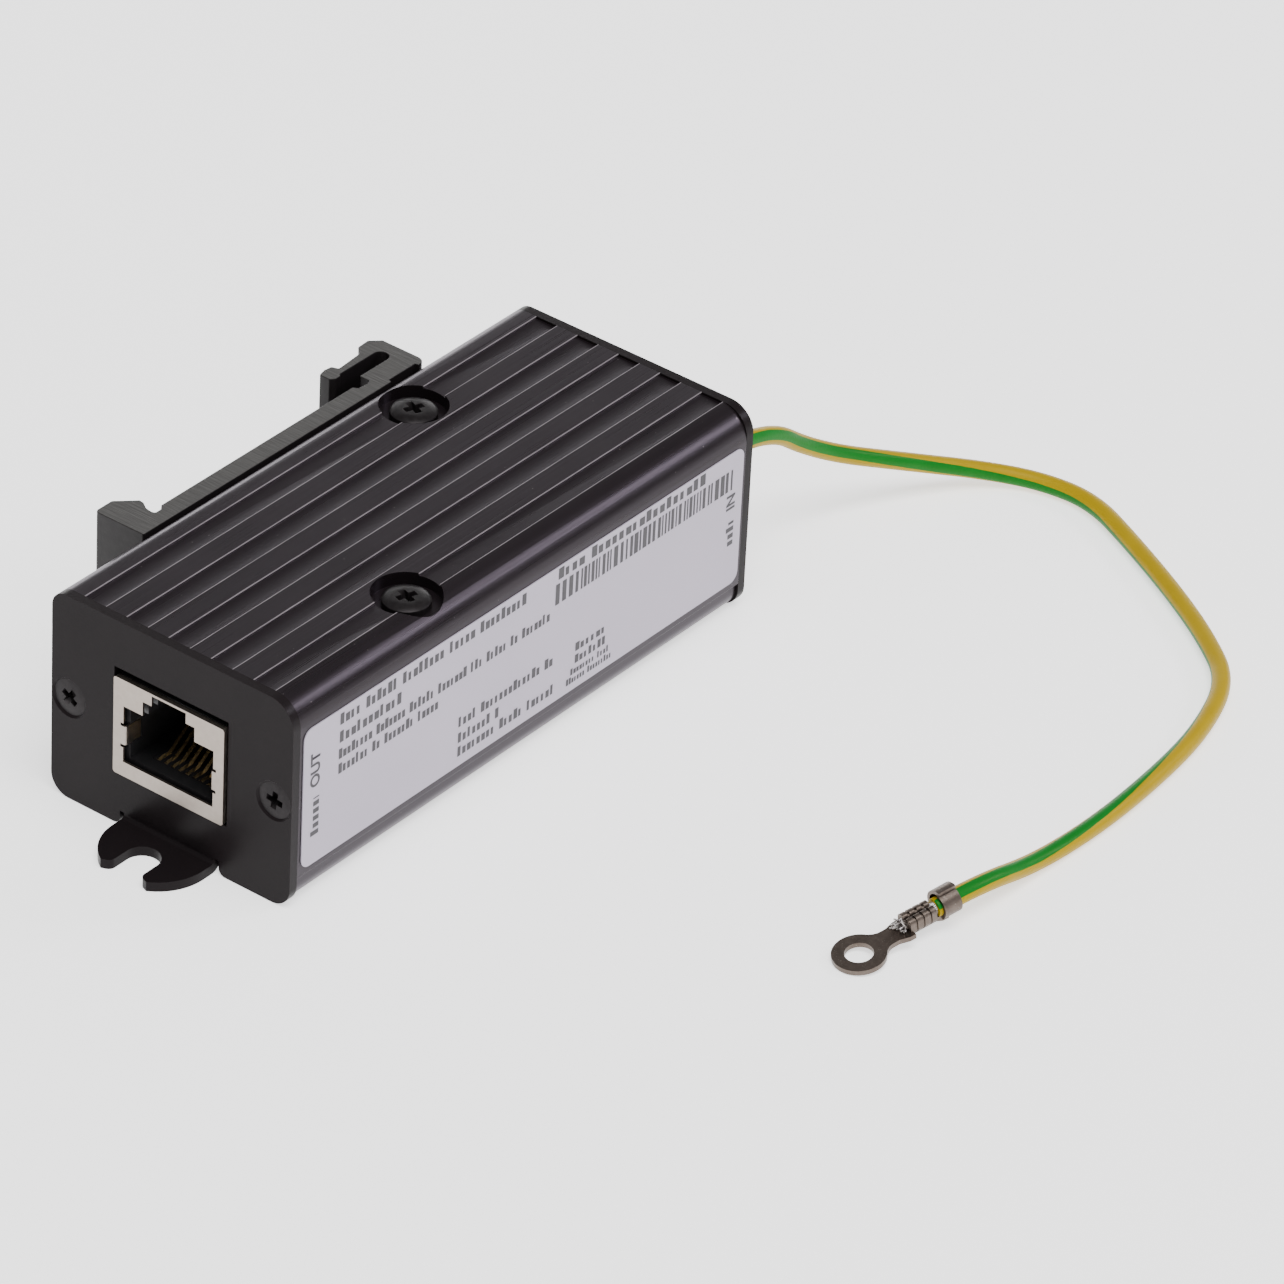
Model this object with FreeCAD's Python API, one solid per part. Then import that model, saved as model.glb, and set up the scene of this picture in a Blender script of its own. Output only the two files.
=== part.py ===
import FreeCAD
import Part
import math
import os
from FreeCAD import Placement, Rotation, Vector

# Inline surge protector for a network line. An extruded aluminium tube is closed by two
# sheet end plates, has a shielded jack at each end, a rail clip along one side and an
# earth lead with a ring terminal. The tube runs along X, with the line side at -X and the
# equipment side at +X. The clip is on +Y, and the underside is at z = 0. Millimetres.

# Housing tube
body_width = 34.0
body_height = 26.3
tube_length = 77.0
side_wall = 2.0
top_wall = 2.5
floor_wall = 1.6
top_corner_radius = 3.9
bottom_corner_radius = 2.5
side_step_height = 3.4
side_step_depth = 0.3
groove_count = 5
groove_width = 2.97
ridge_width = 2.97
groove_depth = 0.3

# End plates, folded sheet
plate_thickness = 1.2
plate_top_radius = 3.3
plate_bottom_radius = 2.5
tab_width = 12.9
tab_centre_reach = 1.9
tab_slot_width = 4.2
tab_slot_reach = 4.4
tab_tip_radius = 0.9
bend_radius = 0.5
relief_width = 0.6
relief_height = 1.8
window_side_gap = 0.25
window_top_gap = 0.9
window_bottom_gap = 0.15

# End plate screws
plate_screw_diameter = 2.5
plate_screw_length = 7.0
plate_screw_head = 4.6
plate_screw_inset = 2.5
screw_boss_radius = 2.35
screw_clearance = 0.2
thread_clearance = 0.05
head_clearance = 0.15

# Board screws in the top
board_screw_diameter = 3.0
board_screw_end_gap = 0.3
board_screw_head = 5.5
board_screw_head_height = 1.2
board_screw_x = 14.8
board_screw_y = 11.75
counterbore_diameter = 8.0
counterbore_depth = 1.6

# Board and standoffs
board_thickness = 1.6
board_end_gap = 2.0
board_side_gap = 0.8
board_corner_radius = 0.6
standoff_across = 5.0
pin_sides = 6
pin_clearance = 0.1

# Jacks
jack_width = 15.6
jack_height = 12.5
jack_proud = 0.4
shield_sheet = 0.3
port_width = 12.7
port_floor = 1.9
port_height = 7.2
latch_width = 7.3
latch_rise = 1.8
latch_top_width = 4.8
spring_tab_height = 2.4
spring_tab_floor = 4.1
spring_tab_reach = 0.35
spring_tab_depth = 2.5
spring_tab_nick = 0.35
insert_setback = 0.5
insert_gap = 0.05
plug_cavity_width = 12.0
plug_cavity_depth = 13.0
jack_rear_depth = 5.3
plug_cavity_floor = 2.1
plug_latch_width = 7.0
plug_latch_top_width = 4.4
insert_roof = 0.6
insert_step_inset = 0.1
peg_diameter = 3.0
peg_spread = 5.7
peg_depth = 8.9

# Jack contacts and the comb that carries them
contact_count = 8
contact_pitch = 1.016
contact_size = 0.4
contact_front = 3.8
contact_tip_depth = 10.0
contact_tip_rise = 5.7
contact_run_rise = 1.4
contact_tail_setback = 1.3
contact_tail_step = 2.0
contact_tail_stand = 0.6
comb_front = 2.6
comb_floor = 0.75
comb_side = 0.6
comb_back_gap = 0.9
comb_gap = 0.05

# Parts on the board
arrester_count = 4
arrester_pitch = 9.5
arrester_width = 5.0
arrester_length = 8.4
arrester_cap = 1.2
arrester_ring = 1.4
arrester_band = 0.15
arrester_row = 3.4
diode_columns = 4
diode_row_near = -4.6
diode_row_step = 4.6
diode_length = 4.4
diode_width = 3.6
diode_height = 2.2
diode_lead = 0.25
diode_lead_width = 2.0
diode_foot = 0.9

# Rail clip, extruded, on the +Y side
clip_end_gap = 0.35
clip_strip = 2.45
rail_width = 35.0
rail_play = 1.0
rail_sheet = 1.0
rail_seat_start = -20.3
hook_width = 4.55
hook_height = 7.0
hook_land = 2.75
hook_lip = 0.38
hook_gap = 0.7
root_groove_depth = 0.5
root_groove_width = 1.7
root_groove_reach = 0.5
latch_groove_width = 2.3
latch_block_step = 0.93
latch_slot = 1.92
latch_slot_end = 5.76
latch_slot_round = 0.9
latch_end = 7.6
latch_arm = 0.95
latch_nose = 2.8
latch_nose_width = 2.5
latch_nose_rise = 0.85
latch_catch = 0.32
latch_catch_width = 1.5
latch_ramp = 3.6
latch_height = 7.54
latch_chamfer = 1.2
latch_heel = 1.4
latch_heel_round = 1.1
clip_relief = 0.45
clip_round = 0.4
clip_screw_diameter = 3.0
clip_screw_length = 3.2
clip_screw_head = 5.5
clip_screw_head_height = 1.2
clip_screw_spread = 6.2

# Rating label
label_thickness = 0.15
label_end_gap = 0.5
label_lower_gap = 1.0
label_upper_gap = 0.1
label_corner_radius = 1.3

# Earth lead, its grommet and the post on the board
lead_diameter = 2.2
lead_bore_clearance = 0.05
lead_y = -11.6
lead_drop = 1.4
lead_inner_end = 34.0
grommet_neck = 4.0
grommet_flange = 5.4
grommet_flange_thickness = 0.8
grommet_neck_stand = 0.8
grommet_fit = 0.05
post_length = 4.6
post_width = 4.2
post_drop = 3.6
post_pin_diameter = 1.5
post_pin_stand = 0.6

# Ring terminal
ring_hole = 3.2
ring_outer = 6.06
terminal_sheet = 0.6
shoulder_angle = 50.0
neck_width = 2.5
tongue_width = 3.2
tongue_reach = 1.1
floor_width = 1.7
barrel_start = 6.2
barrel_end = 9.7
barrel_radius = 1.15
barrel_sink = 0.06
seam_width = 0.7
seam_root = 0.05
strand_radius = 0.62
strand_start = 5.4
lead_cut = 10.2
grip_start = 10.6
grip_end = 12.9
grip_sheet = 0.45
grip_opening = 46.0
terminal_pitch = 8.0
terminal_yaw = -15.1
terminal_place = Vector(-6.0, -68.12, 0.43)

# The lead's route, from the post inside to the terminal's cut end. It leaves level, and its
# last points are worked out from the terminal.
lead_sides = 8
lead_stand = 0.02
lead_rest = lead_diameter / 2 + lead_stand
lead_first_bend = 48.0
lead_outside = [
    Vector(59.0, -12.2, 9.4),
    Vector(70.8, -17.2, 4.5),
    Vector(78.6, -22.0, 1.8),
    Vector(82.2, -28.0, lead_rest),
    Vector(82.6, -35.0, lead_rest),
    Vector(78.6, -43.2, lead_rest),
    Vector(73.4, -52.8, lead_rest),
    Vector(68.2, -61.0, lead_rest),
    Vector(62.6, -67.8, lead_rest),
    Vector(52.6, -71.3, lead_rest),
    Vector(42.4, -72.7, lead_rest),
    Vector(30.4, -73.3, lead_rest),
    Vector(19.6, -72.5, lead_rest),
]
lead_last_reach = 16.5
arc_share = 0.45

# Places that follow from the sizes
half_width = body_width / 2
half_tube = tube_length / 2
plate_face = half_tube + plate_thickness
screw_height = body_height / 2
cavity_half = half_width - side_wall
cavity_top = body_height - top_wall
flat_top = body_height - top_corner_radius
plate_screw_y = half_width - plate_screw_inset
jack_floor = body_height / 2 - jack_height / 2
board_under = jack_floor + jack_height
board_over = board_under + board_thickness
jack_face = plate_face + jack_proud
jack_depth = plug_cavity_depth + jack_rear_depth
comb_back = jack_depth - comb_back_gap
lead_height = board_under - lead_drop
board_screw_length = body_height - counterbore_depth - board_over - board_screw_end_gap
strip_outer = half_width + clip_strip
rail_seat_end = rail_seat_start + rail_width + rail_play
half_turn = Rotation(Vector(0, 0, 1), 180)


def rounded_wire(corners, lift):
    """Closed wire through (a, b) or (a, b, radius) corners, mapped to space by lift."""
    flat = [Vector(c[0], c[1], 0) for c in corners]
    count = len(flat)
    pieces = []
    for i, corner in enumerate(corners):
        here = flat[i]
        back = (flat[i - 1] - here)
        ahead = (flat[(i + 1) % count] - here)
        radius = corner[2] if len(corner) > 2 else 0.0
        if radius == 0.0:
            pieces.append((here, None, here))
            continue
        half = back.getAngle(ahead) / 2
        back.normalize()
        ahead.normalize()
        reach = radius / math.tan(half)
        middle = back + ahead
        middle.normalize()
        top = here + middle * (radius / math.sin(half) - radius)
        pieces.append((here + back * reach, top, here + ahead * reach))
    edges = []
    for i, (start, top, end) in enumerate(pieces):
        if top is not None:
            edges.append(Part.Arc(lift(start), lift(top), lift(end)).toShape())
        following = pieces[(i + 1) % count][0]
        if (following - end).Length > 1e-6:
            edges.append(Part.LineSegment(lift(end), lift(following)).toShape())
    return Part.Wire(edges)


def along_x(corners, x0, x1):
    """Prism of a (y, z) outline between two x."""
    wire = rounded_wire(corners, lambda p: Vector(x0, p.x, p.y))
    return Part.Face(wire).extrude(Vector(x1 - x0, 0, 0))


def along_y(corners, y0, y1):
    """Prism of an (x, z) outline between two y."""
    wire = rounded_wire(corners, lambda p: Vector(p.x, y0, p.y))
    return Part.Face(wire).extrude(Vector(0, y1 - y0, 0))


def along_z(corners, z0, z1):
    """Prism of an (x, y) outline between two z."""
    wire = rounded_wire(corners, lambda p: Vector(p.x, p.y, z0))
    return Part.Face(wire).extrude(Vector(0, 0, z1 - z0))


def block(x0, x1, y0, y1, z0, z1):
    """Box between its limits."""
    return Part.makeBox(x1 - x0, y1 - y0, z1 - z0, Vector(x0, y0, z0))


def rod(radius, start, end):
    """Cylinder between two points."""
    axis = end - start
    return Part.makeCylinder(radius, axis.Length, start, axis)


def few_sided(radius, x, y, z0, z1):
    """Upright bar with flat sides, for pins, screw shanks and their hidden holes."""
    corners = []
    for i in range(pin_sides):
        angle = 2 * math.pi * (i + 0.5) / pin_sides
        corners.append((x + radius * math.cos(angle), y + radius * math.sin(angle)))
    return along_z(corners, z0, z1)


def turned(profile, start, axis):
    """Solid of revolution of (distance along, radius) points about an axis."""
    points = [Vector(r, 0, s) for s, r in profile]
    face = Part.Face(Part.makePolygon(points + [points[0]]))
    solid = face.revolve(Vector(0, 0, 0), Vector(0, 0, 1), 360)
    solid.Placement = Placement(start, Rotation(Vector(0, 0, 1), axis))
    return solid


def strip_outline(path, thickness):
    """Outline of a bent strip with its middle on an open path of (a, b) points."""
    left = []
    right = []
    for i, (a, b) in enumerate(path):
        here = Vector(a, b, 0)
        normals = []
        if i > 0:
            run = here - Vector(path[i - 1][0], path[i - 1][1], 0)
            normals.append(Vector(-run.y, run.x, 0).normalize())
        if i < len(path) - 1:
            run = Vector(path[i + 1][0], path[i + 1][1], 0) - here
            normals.append(Vector(-run.y, run.x, 0).normalize())
        mitre = normals[0] + normals[-1]
        mitre.normalize()
        offset = mitre * (thickness / 2 / mitre.dot(normals[0]))
        left.append((here.x + offset.x, here.y + offset.y))
        right.append((here.x - offset.x, here.y - offset.y))
    return left + right[::-1]


def mirrored_outline(half):
    """Closed (y, z) outline from its +Y half, listed from the bottom up."""
    other = [(-c[0],) + tuple(c[1:]) for c in half]
    return half + other[::-1]


def fused(shapes):
    """One solid from touching or overlapping shapes."""
    whole = shapes[0].multiFuse(shapes[1:]).removeSplitter()
    return whole


def swapped_ends(shape):
    """Copy of a -X piece turned half round to the +X end."""
    other = shape.copy()
    other.Placement = Placement(Vector(0, 0, 0), half_turn).multiply(other.Placement)
    return other


def housing_tube():
    """Extruded tube with a grooved top, stepped sides and two screw bosses."""
    inset = half_width - side_step_depth
    half = [
        (inset, 0, bottom_corner_radius),
        (inset, side_step_height),
        (half_width, side_step_height),
        (half_width, body_height, top_corner_radius),
    ]
    outline = mirrored_outline(half)
    solid = along_x(outline, -half_tube, half_tube)
    cavity = mirrored_outline([(cavity_half, floor_wall), (cavity_half, cavity_top)])
    tube = solid.cut(along_x(cavity, -half_tube, half_tube))
    bosses = []
    bores = []
    for side in (-1, 1):
        start = Vector(-half_tube, side * plate_screw_y, screw_height)
        end = Vector(half_tube, side * plate_screw_y, screw_height)
        bosses.append(rod(screw_boss_radius, start, end).common(solid))
        bores.append(rod(plate_screw_diameter / 2 + thread_clearance, start, end))
    tube = fused([tube] + bosses)
    cuts = bores
    pitch = groove_width + ridge_width
    for i in range(groove_count):
        middle = (i - (groove_count - 1) / 2) * pitch
        low = middle - groove_width / 2
        high = middle + groove_width / 2
        depth = body_height - groove_depth
        cuts.append(block(-half_tube, half_tube, low, high, depth, body_height))
    for side in (-1, 1):
        x = side * board_screw_x
        y = side * board_screw_y
        seat = body_height - counterbore_depth
        cuts.append(rod(counterbore_diameter / 2, Vector(x, y, seat), Vector(x, y, body_height)))
        hole = board_screw_diameter / 2 + screw_clearance
        cuts.append(rod(hole, Vector(x, y, cavity_top), Vector(x, y, body_height)))
    for z in clip_screw_heights():
        hole = clip_screw_diameter / 2 + thread_clearance
        start = Vector(clip_screw_x(), cavity_half, z)
        cuts.append(rod(hole, start, Vector(clip_screw_x(), half_width, z)))
    return tube.cut(cuts)


def clip_screw_x():
    """Middle of the rail seat, where the clip is screwed on."""
    return (rail_seat_start + rail_seat_end) / 2


def clip_screw_heights():
    """Heights of the two clip screws, one each side of the end screws' boss."""
    return (screw_height - clip_screw_spread, screw_height + clip_screw_spread)


def end_plate(lead_side):
    """Plate at -X with its slotted foot. lead_side is 0, or 1 for a lead hole."""
    outline = mirrored_outline([
        (half_width, 0, plate_bottom_radius),
        (half_width, body_height, plate_top_radius),
    ])
    plate = along_x(outline, -plate_face, -half_tube)
    half_tab = tab_width / 2
    bend_outer = bend_radius + plate_thickness
    bend_x = -plate_face - bend_radius
    corner = block(-plate_face, -half_tube, -half_tab, half_tab, 0, bend_outer)
    relief = []
    for side in (-1, 1):
        middle = side * (half_tab + relief_width / 2)
        low = middle - relief_width / 2
        high = middle + relief_width / 2
        relief.append(block(-plate_face, -half_tube, low, high, 0, relief_height))
    plate = plate.cut([corner] + relief)
    start = Vector(bend_x, -half_tab, bend_outer)
    end = Vector(bend_x, half_tab, bend_outer)
    bend = rod(bend_outer, start, end).cut(rod(bend_radius, start, end))
    bend = bend.common(block(bend_x, -half_tube, -half_tab, half_tab, 0, bend_outer))
    foot = fused([plate, bend, foot_tab(bend_x, half_tab)])
    cuts = [jack_window()]
    for side in (-1, 1):
        y = side * plate_screw_y
        cuts.append(countersink(Vector(-plate_face, y, screw_height)))
    if lead_side:
        y = -lead_y
        hole = grommet_neck / 2 + grommet_fit
        start = Vector(-plate_face, y, lead_height)
        cuts.append(rod(hole, start, Vector(-half_tube, y, lead_height)))
    return foot.cut(cuts)


def foot_tab(bend_x, half_tab):
    """Flat foot with a round end and an open slot, outside the bend."""
    centre_x = -plate_face - tab_centre_reach
    flat = block(centre_x, bend_x, -half_tab, half_tab, 0, plate_thickness)
    base = Vector(centre_x, 0, 0)
    nose = Part.makeCylinder(half_tab, plate_thickness, base)
    slot_x = -plate_face - tab_slot_reach
    half_slot = tab_slot_width / 2
    far = centre_x - 2 * half_tab
    cut = fused([
        Part.makeCylinder(half_slot, plate_thickness, Vector(slot_x, 0, 0)),
        block(far, slot_x, -half_slot, half_slot, 0, plate_thickness),
    ])
    tab = fused([flat, nose.common(block(far, centre_x, -half_tab, half_tab, 0, body_height))])
    tab = tab.cut(cut)
    tips = []
    for edge in tab.Edges:
        point = edge.CenterOfMass
        upright = abs(edge.tangentAt(edge.FirstParameter).z) > 0.99
        at_tip = point.x < slot_x - half_slot / 2 and abs(abs(point.y) - half_slot) < 0.01
        if upright and at_tip:
            tips.append(edge)
    return tab.makeFillet(tab_tip_radius, tips)


def jack_window():
    """Opening in a plate that the jack's shield comes through."""
    half = jack_width / 2 + window_side_gap
    low = jack_floor - window_bottom_gap
    high = jack_floor + jack_height + window_top_gap
    return block(-plate_face, -half_tube, -half, half, low, high)


def countersink(start):
    """Screw hole in a plate, coned to take a flat head."""
    hole = plate_screw_diameter / 2 + screw_clearance
    wide = plate_screw_head / 2 + head_clearance
    profile = [(0, 0), (0, wide), (plate_thickness, hole), (plate_thickness, 0)]
    return turned(profile, start, Vector(1, 0, 0))


def flat_head_screw(start, axis, head, shank, length, sunk):
    """Countersunk screw whose head top lies sunk below its start point."""
    depth = (head - shank) / 2
    cone = Part.makeCone(head / 2, shank / 2, depth)
    screw = fused([cone, few_sided(shank / 2, 0, 0, depth, length)])
    screw.Placement = Placement(start + axis * sunk, Rotation(Vector(0, 0, 1), axis))
    return screw


def plate_screws():
    """The four screws that hold the end plates."""
    screws = []
    for end in (-1, 1):
        for side in (-1, 1):
            start = Vector(end * plate_face, side * plate_screw_y, screw_height)
            screws.append(flat_head_screw(
                start, Vector(-end, 0, 0), plate_screw_head, plate_screw_diameter,
                plate_screw_length, head_clearance))
    return screws


def cheese_head_screw(seat, axis, head, head_height, shank, length):
    """Screw whose cylindrical head stands on its seat."""
    disc = Part.makeCylinder(head / 2, head_height, Vector(0, 0, -head_height))
    screw = fused([disc, few_sided(shank / 2, 0, 0, 0, length)])
    screw.Placement = Placement(seat, Rotation(Vector(0, 0, 1), axis))
    return screw


def board_screws():
    """Two cheese-head screws from the top into the board's standoffs."""
    screws = []
    for side in (-1, 1):
        seat = Vector(side * board_screw_x, side * board_screw_y, body_height - counterbore_depth)
        screws.append(cheese_head_screw(
            seat, Vector(0, 0, -1), board_screw_head, board_screw_head_height,
            board_screw_diameter, board_screw_length))
    return screws


def board_standoffs():
    """Tapped hexagonal standoffs soldered on the board, up to the roof of the cavity."""
    parts = []
    bore = board_screw_diameter / 2 + thread_clearance
    corner = standoff_across / math.sqrt(3)
    for side in (-1, 1):
        x = side * board_screw_x
        y = side * board_screw_y
        hexagon = []
        for i in range(6):
            angle = math.radians(60 * i)
            hexagon.append((x + corner * math.cos(angle), y + corner * math.sin(angle)))
        body = along_z(hexagon, board_over, cavity_top)
        parts.append(body.cut(few_sided(bore, x, y, board_over, cavity_top)))
    return parts


def contact_offsets():
    """Sideways place of each contact, and how far back its tail goes into the board."""
    places = []
    for i in range(contact_count):
        y = (i - (contact_count - 1) / 2) * contact_pitch
        depth = plug_cavity_depth + contact_tail_setback + (i % 2) * contact_tail_step
        places.append((y, depth))
    return places


def circuit_board():
    """Board under the roof, drilled for all that passes through it."""
    half_x = half_tube - board_end_gap
    half_y = cavity_half - board_side_gap
    r = board_corner_radius
    outline = [
        (half_x, -half_y, r), (half_x, half_y, r), (-half_x, half_y, r), (-half_x, -half_y, r),
    ]
    board = along_z(outline, board_under, board_over)
    holes = []
    for side in (-1, 1):
        for y, depth in contact_offsets():
            x = side * (jack_face - depth)
            holes.append((x, -side * y, contact_size / math.sqrt(2)))
        for spread in (-peg_spread, peg_spread):
            holes.append((side * (jack_face - peg_depth), spread, peg_diameter / 2))
    holes.append((post_middle(), lead_y, post_pin_diameter / 2))
    tools = []
    for x, y, radius in holes:
        tools.append(few_sided(radius + pin_clearance, x, y, board_under, board_over))
    return board.cut(tools)


def stepped_port(floor, width, step_width, top_width, main_top, step_top, top):
    """(y, z) outline of a plug opening with its two latch steps, z from the jack's floor."""
    half = [
        (width / 2, jack_floor + floor),
        (width / 2, jack_floor + main_top),
        (step_width / 2, jack_floor + main_top),
        (step_width / 2, jack_floor + step_top),
        (top_width / 2, jack_floor + step_top),
        (top_width / 2, jack_floor + top),
    ]
    return mirrored_outline(half)


def jack_shield():
    """Folded shield of the -X jack, open towards the board."""
    face = -jack_face
    half = jack_width / 2
    sheet = shield_sheet
    back = face + jack_depth
    body = block(face, back, -half, half, jack_floor, board_under)
    hollow = block(
        face + sheet, back - sheet, -half + sheet, half - sheet, jack_floor + sheet,
        board_under - sheet)
    open_top = block(
        face + sheet + insert_setback - insert_gap, back - sheet, -half + sheet, half - sheet,
        board_under - sheet, board_under)
    main_top = port_floor + port_height
    port = along_x(stepped_port(
        port_floor, port_width, latch_width, latch_top_width, main_top,
        main_top + latch_rise, jack_height - sheet), face, face + sheet)
    nicks = []
    tabs = []
    low = jack_floor + spring_tab_floor
    high = low + spring_tab_height
    for side in (-1, 1):
        edge = port_width / 2
        inner = edge - spring_tab_reach
        for z in (low - sheet, high):
            y0, y1 = sorted((side * edge, side * (edge + spring_tab_nick)))
            nicks.append(block(face, face + sheet, y0, y1, z, z + sheet))
        y0, y1 = sorted((side * inner, side * edge))
        tabs.append(block(face, face + sheet, y0, y1, low, high))
        y0, y1 = sorted((side * inner, side * (inner + sheet)))
        tabs.append(block(face, face + spring_tab_depth, y0, y1, low, high))
    shell = body.cut([hollow, open_top, port] + nicks)
    return fused([shell] + tabs)


def jack_insert():
    """Moulded body inside the -X shield, with the plug cavity and two board pegs."""
    face = -jack_face
    front = face + shield_sheet + insert_setback
    back = face + jack_depth - shield_sheet - insert_gap
    half = jack_width / 2 - shield_sheet - insert_gap
    floor = jack_floor + shield_sheet + insert_gap
    body = block(front, back, -half, half, floor, board_under)
    main_top = port_floor + port_height - insert_step_inset
    cavity = along_x(stepped_port(
        plug_cavity_floor, plug_cavity_width, plug_latch_width, plug_latch_top_width,
        main_top, main_top + latch_rise, jack_height - insert_roof),
        front, face + plug_cavity_depth)
    edge = comb_half() + comb_gap
    pocket = block(
        face + comb_front - comb_gap, face + comb_back + comb_gap, -edge, edge,
        jack_floor + comb_floor - comb_gap, jack_floor + plug_cavity_floor)
    shaft = block(
        face + plug_cavity_depth, face + comb_back + comb_gap, -edge, edge,
        jack_floor + comb_floor - comb_gap, board_under)
    cuts = [cavity, pocket, shaft]
    low = jack_floor + spring_tab_floor - comb_gap
    high = low + spring_tab_height + 2 * comb_gap
    for side in (-1, 1):
        near = port_width / 2 - spring_tab_reach - comb_gap
        y0, y1 = sorted((side * near, side * (near + shield_sheet + 2 * comb_gap)))
        cuts.append(block(front, face + spring_tab_depth + comb_gap, y0, y1, low, high))
    body = body.cut(cuts)
    pegs = []
    for y in (-peg_spread, peg_spread):
        x = face + peg_depth
        pegs.append(few_sided(peg_diameter / 2, x, y, board_under, board_over))
    return fused([body] + pegs)


def comb_half():
    """Half the width of the contact comb."""
    return (contact_count - 1) / 2 * contact_pitch + contact_size / 2 + comb_side


def contact_comb():
    """Comb at the back of the -X jack that holds the contacts apart."""
    face = -jack_face
    half = comb_half()
    low = jack_floor + comb_floor
    mid = jack_floor + plug_cavity_floor
    wall = face + plug_cavity_depth + comb_gap
    back = face + comb_back
    tray = block(face + comb_front, back, -half, half, low, mid)
    riser = block(wall, back, -half, half, low, board_under)
    slots = []
    slot = contact_size / 2 + comb_gap
    run_low = jack_floor + contact_run_rise - slot
    for y, depth in contact_offsets():
        tail = face + depth + slot
        slots.append(block(face + comb_front, wall, y - slot, y + slot, run_low, mid))
        slots.append(block(wall, tail, y - slot, y + slot, run_low, board_under))
    return fused([tray, riser]).cut(slots)


def jack_contacts():
    """Eight bent wires of the -X jack, from the plug's side up through the board."""
    face = -jack_face
    contacts = []
    for y, depth in contact_offsets():
        path = [
            (face + contact_tip_depth, jack_floor + contact_tip_rise),
            (face + contact_front, jack_floor + contact_run_rise),
            (face + depth, jack_floor + contact_run_rise),
            (face + depth, board_over + contact_tail_stand),
        ]
        outline = strip_outline(path, contact_size)
        contacts.append(along_y(outline, y - contact_size / 2, y + contact_size / 2))
    return contacts


def arrester_columns():
    """X of each gas discharge tube."""
    return [(i - (arrester_count - 1) / 2) * arrester_pitch for i in range(arrester_count)]


def gas_discharge_tubes():
    """Three-electrode tubes of the square kind, soldered under the board by their bands."""
    half = arrester_length / 2
    wide = arrester_width / 2
    inner = wide - arrester_band
    ring = arrester_ring / 2
    low = board_under - arrester_width
    bands = [(-half, -half + arrester_cap), (-ring, ring), (half - arrester_cap, half)]
    tubes = []
    for x in arrester_columns():
        pieces = [block(
            x - inner, x + inner, arrester_row - half, arrester_row + half,
            low + arrester_band, board_under - arrester_band)]
        for start, end in bands:
            pieces.append(block(
                x - wide, x + wide, arrester_row + start, arrester_row + end, low, board_under))
        tubes.append(fused(pieces))
    return tubes


def clamping_diodes():
    """Surface-mounted diodes in two rows under the board, each with two folded feet."""
    parts = []
    half = diode_length / 2
    top = board_under - diode_lead
    low = top - diode_height
    for column in range(diode_columns):
        x = (column - (diode_columns - 1) / 2) * arrester_pitch
        for row in range(2):
            y = diode_row_near - row * diode_row_step
            wide = diode_width / 2
            pieces = [block(x - half, x + half, y - wide, y + wide, low, top)]
            wide = diode_lead_width / 2
            for side in (-1, 1):
                end = x + side * half
                x0, x1 = sorted((end, end + side * diode_lead))
                pieces.append(block(
                    x0, x1, y - wide, y + wide, top - diode_height / 2, board_under))
                x0, x1 = sorted((end, end - side * diode_foot))
                pieces.append(block(x0, x1, y - wide, y + wide, top, board_under))
            parts.append(fused(pieces))
    return parts


def din_clip():
    """Extruded rail clip: fixed hook at one side, springy latch at the other."""
    s = rail_seat_start
    e = rail_seat_end
    w = half_width
    t = strip_outer
    left = s - hook_width
    top = w + hook_height
    slope = hook_width - hook_land + hook_lip
    groove_end = s + root_groove_width - root_groove_reach
    right = e + latch_end
    block_top = t + latch_block_step
    arm_inner = block_top + latch_slot
    arm_outer = arm_inner + latch_arm
    slot_end = e + latch_slot_end
    latch_top = w + latch_height
    nose = e - latch_nose
    catch = nose + latch_catch_width
    outline = [
        (left, w),
        (left, top, clip_round),
        (left + hook_land, top, clip_round),
        (s + hook_lip, top - slope),
        (s + hook_lip, t + rail_sheet + hook_gap),
        (s - root_groove_reach, t + rail_sheet),
        (s - root_groove_reach, t - root_groove_depth),
        (groove_end, t - root_groove_depth),
        (groove_end + root_groove_depth, t),
        (e - latch_groove_width, t),
        (e - latch_groove_width + root_groove_depth, t - root_groove_depth),
        (e, t - root_groove_depth),
        (e, block_top),
        (slot_end, block_top, latch_slot_round),
        (slot_end, arm_inner, latch_slot_round),
        (catch, arm_inner),
        (catch, arm_inner - latch_catch),
        (nose + latch_catch, arm_inner - latch_catch),
        (nose, arm_inner),
        (nose, arm_outer + latch_nose_rise, clip_round),
        (nose + latch_nose_width, arm_outer + latch_nose_rise, clip_round),
        (nose + latch_nose_width, arm_outer),
        (e + latch_ramp, arm_outer),
        (e + latch_ramp + latch_top - arm_outer, latch_top),
        (right - latch_chamfer, latch_top),
        (right, latch_top - latch_chamfer),
        (right, w, latch_heel_round),
        (right - latch_heel, w),
        (right - latch_heel, w + clip_relief),
        (e + latch_heel, w + clip_relief),
        (e + latch_heel, w),
    ]
    clip = along_z(outline, clip_end_gap, body_height - clip_end_gap)
    hole = clip_screw_diameter / 2 + screw_clearance
    wide = clip_screw_head / 2 + head_clearance
    seat = t - clip_screw_head_height - head_clearance
    cuts = []
    for z in clip_screw_heights():
        outside = Vector(clip_screw_x(), t, z)
        cuts.append(rod(wide, Vector(clip_screw_x(), seat, z), outside))
        cuts.append(rod(hole, Vector(clip_screw_x(), w, z), outside))
    return clip.cut(cuts)


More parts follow.
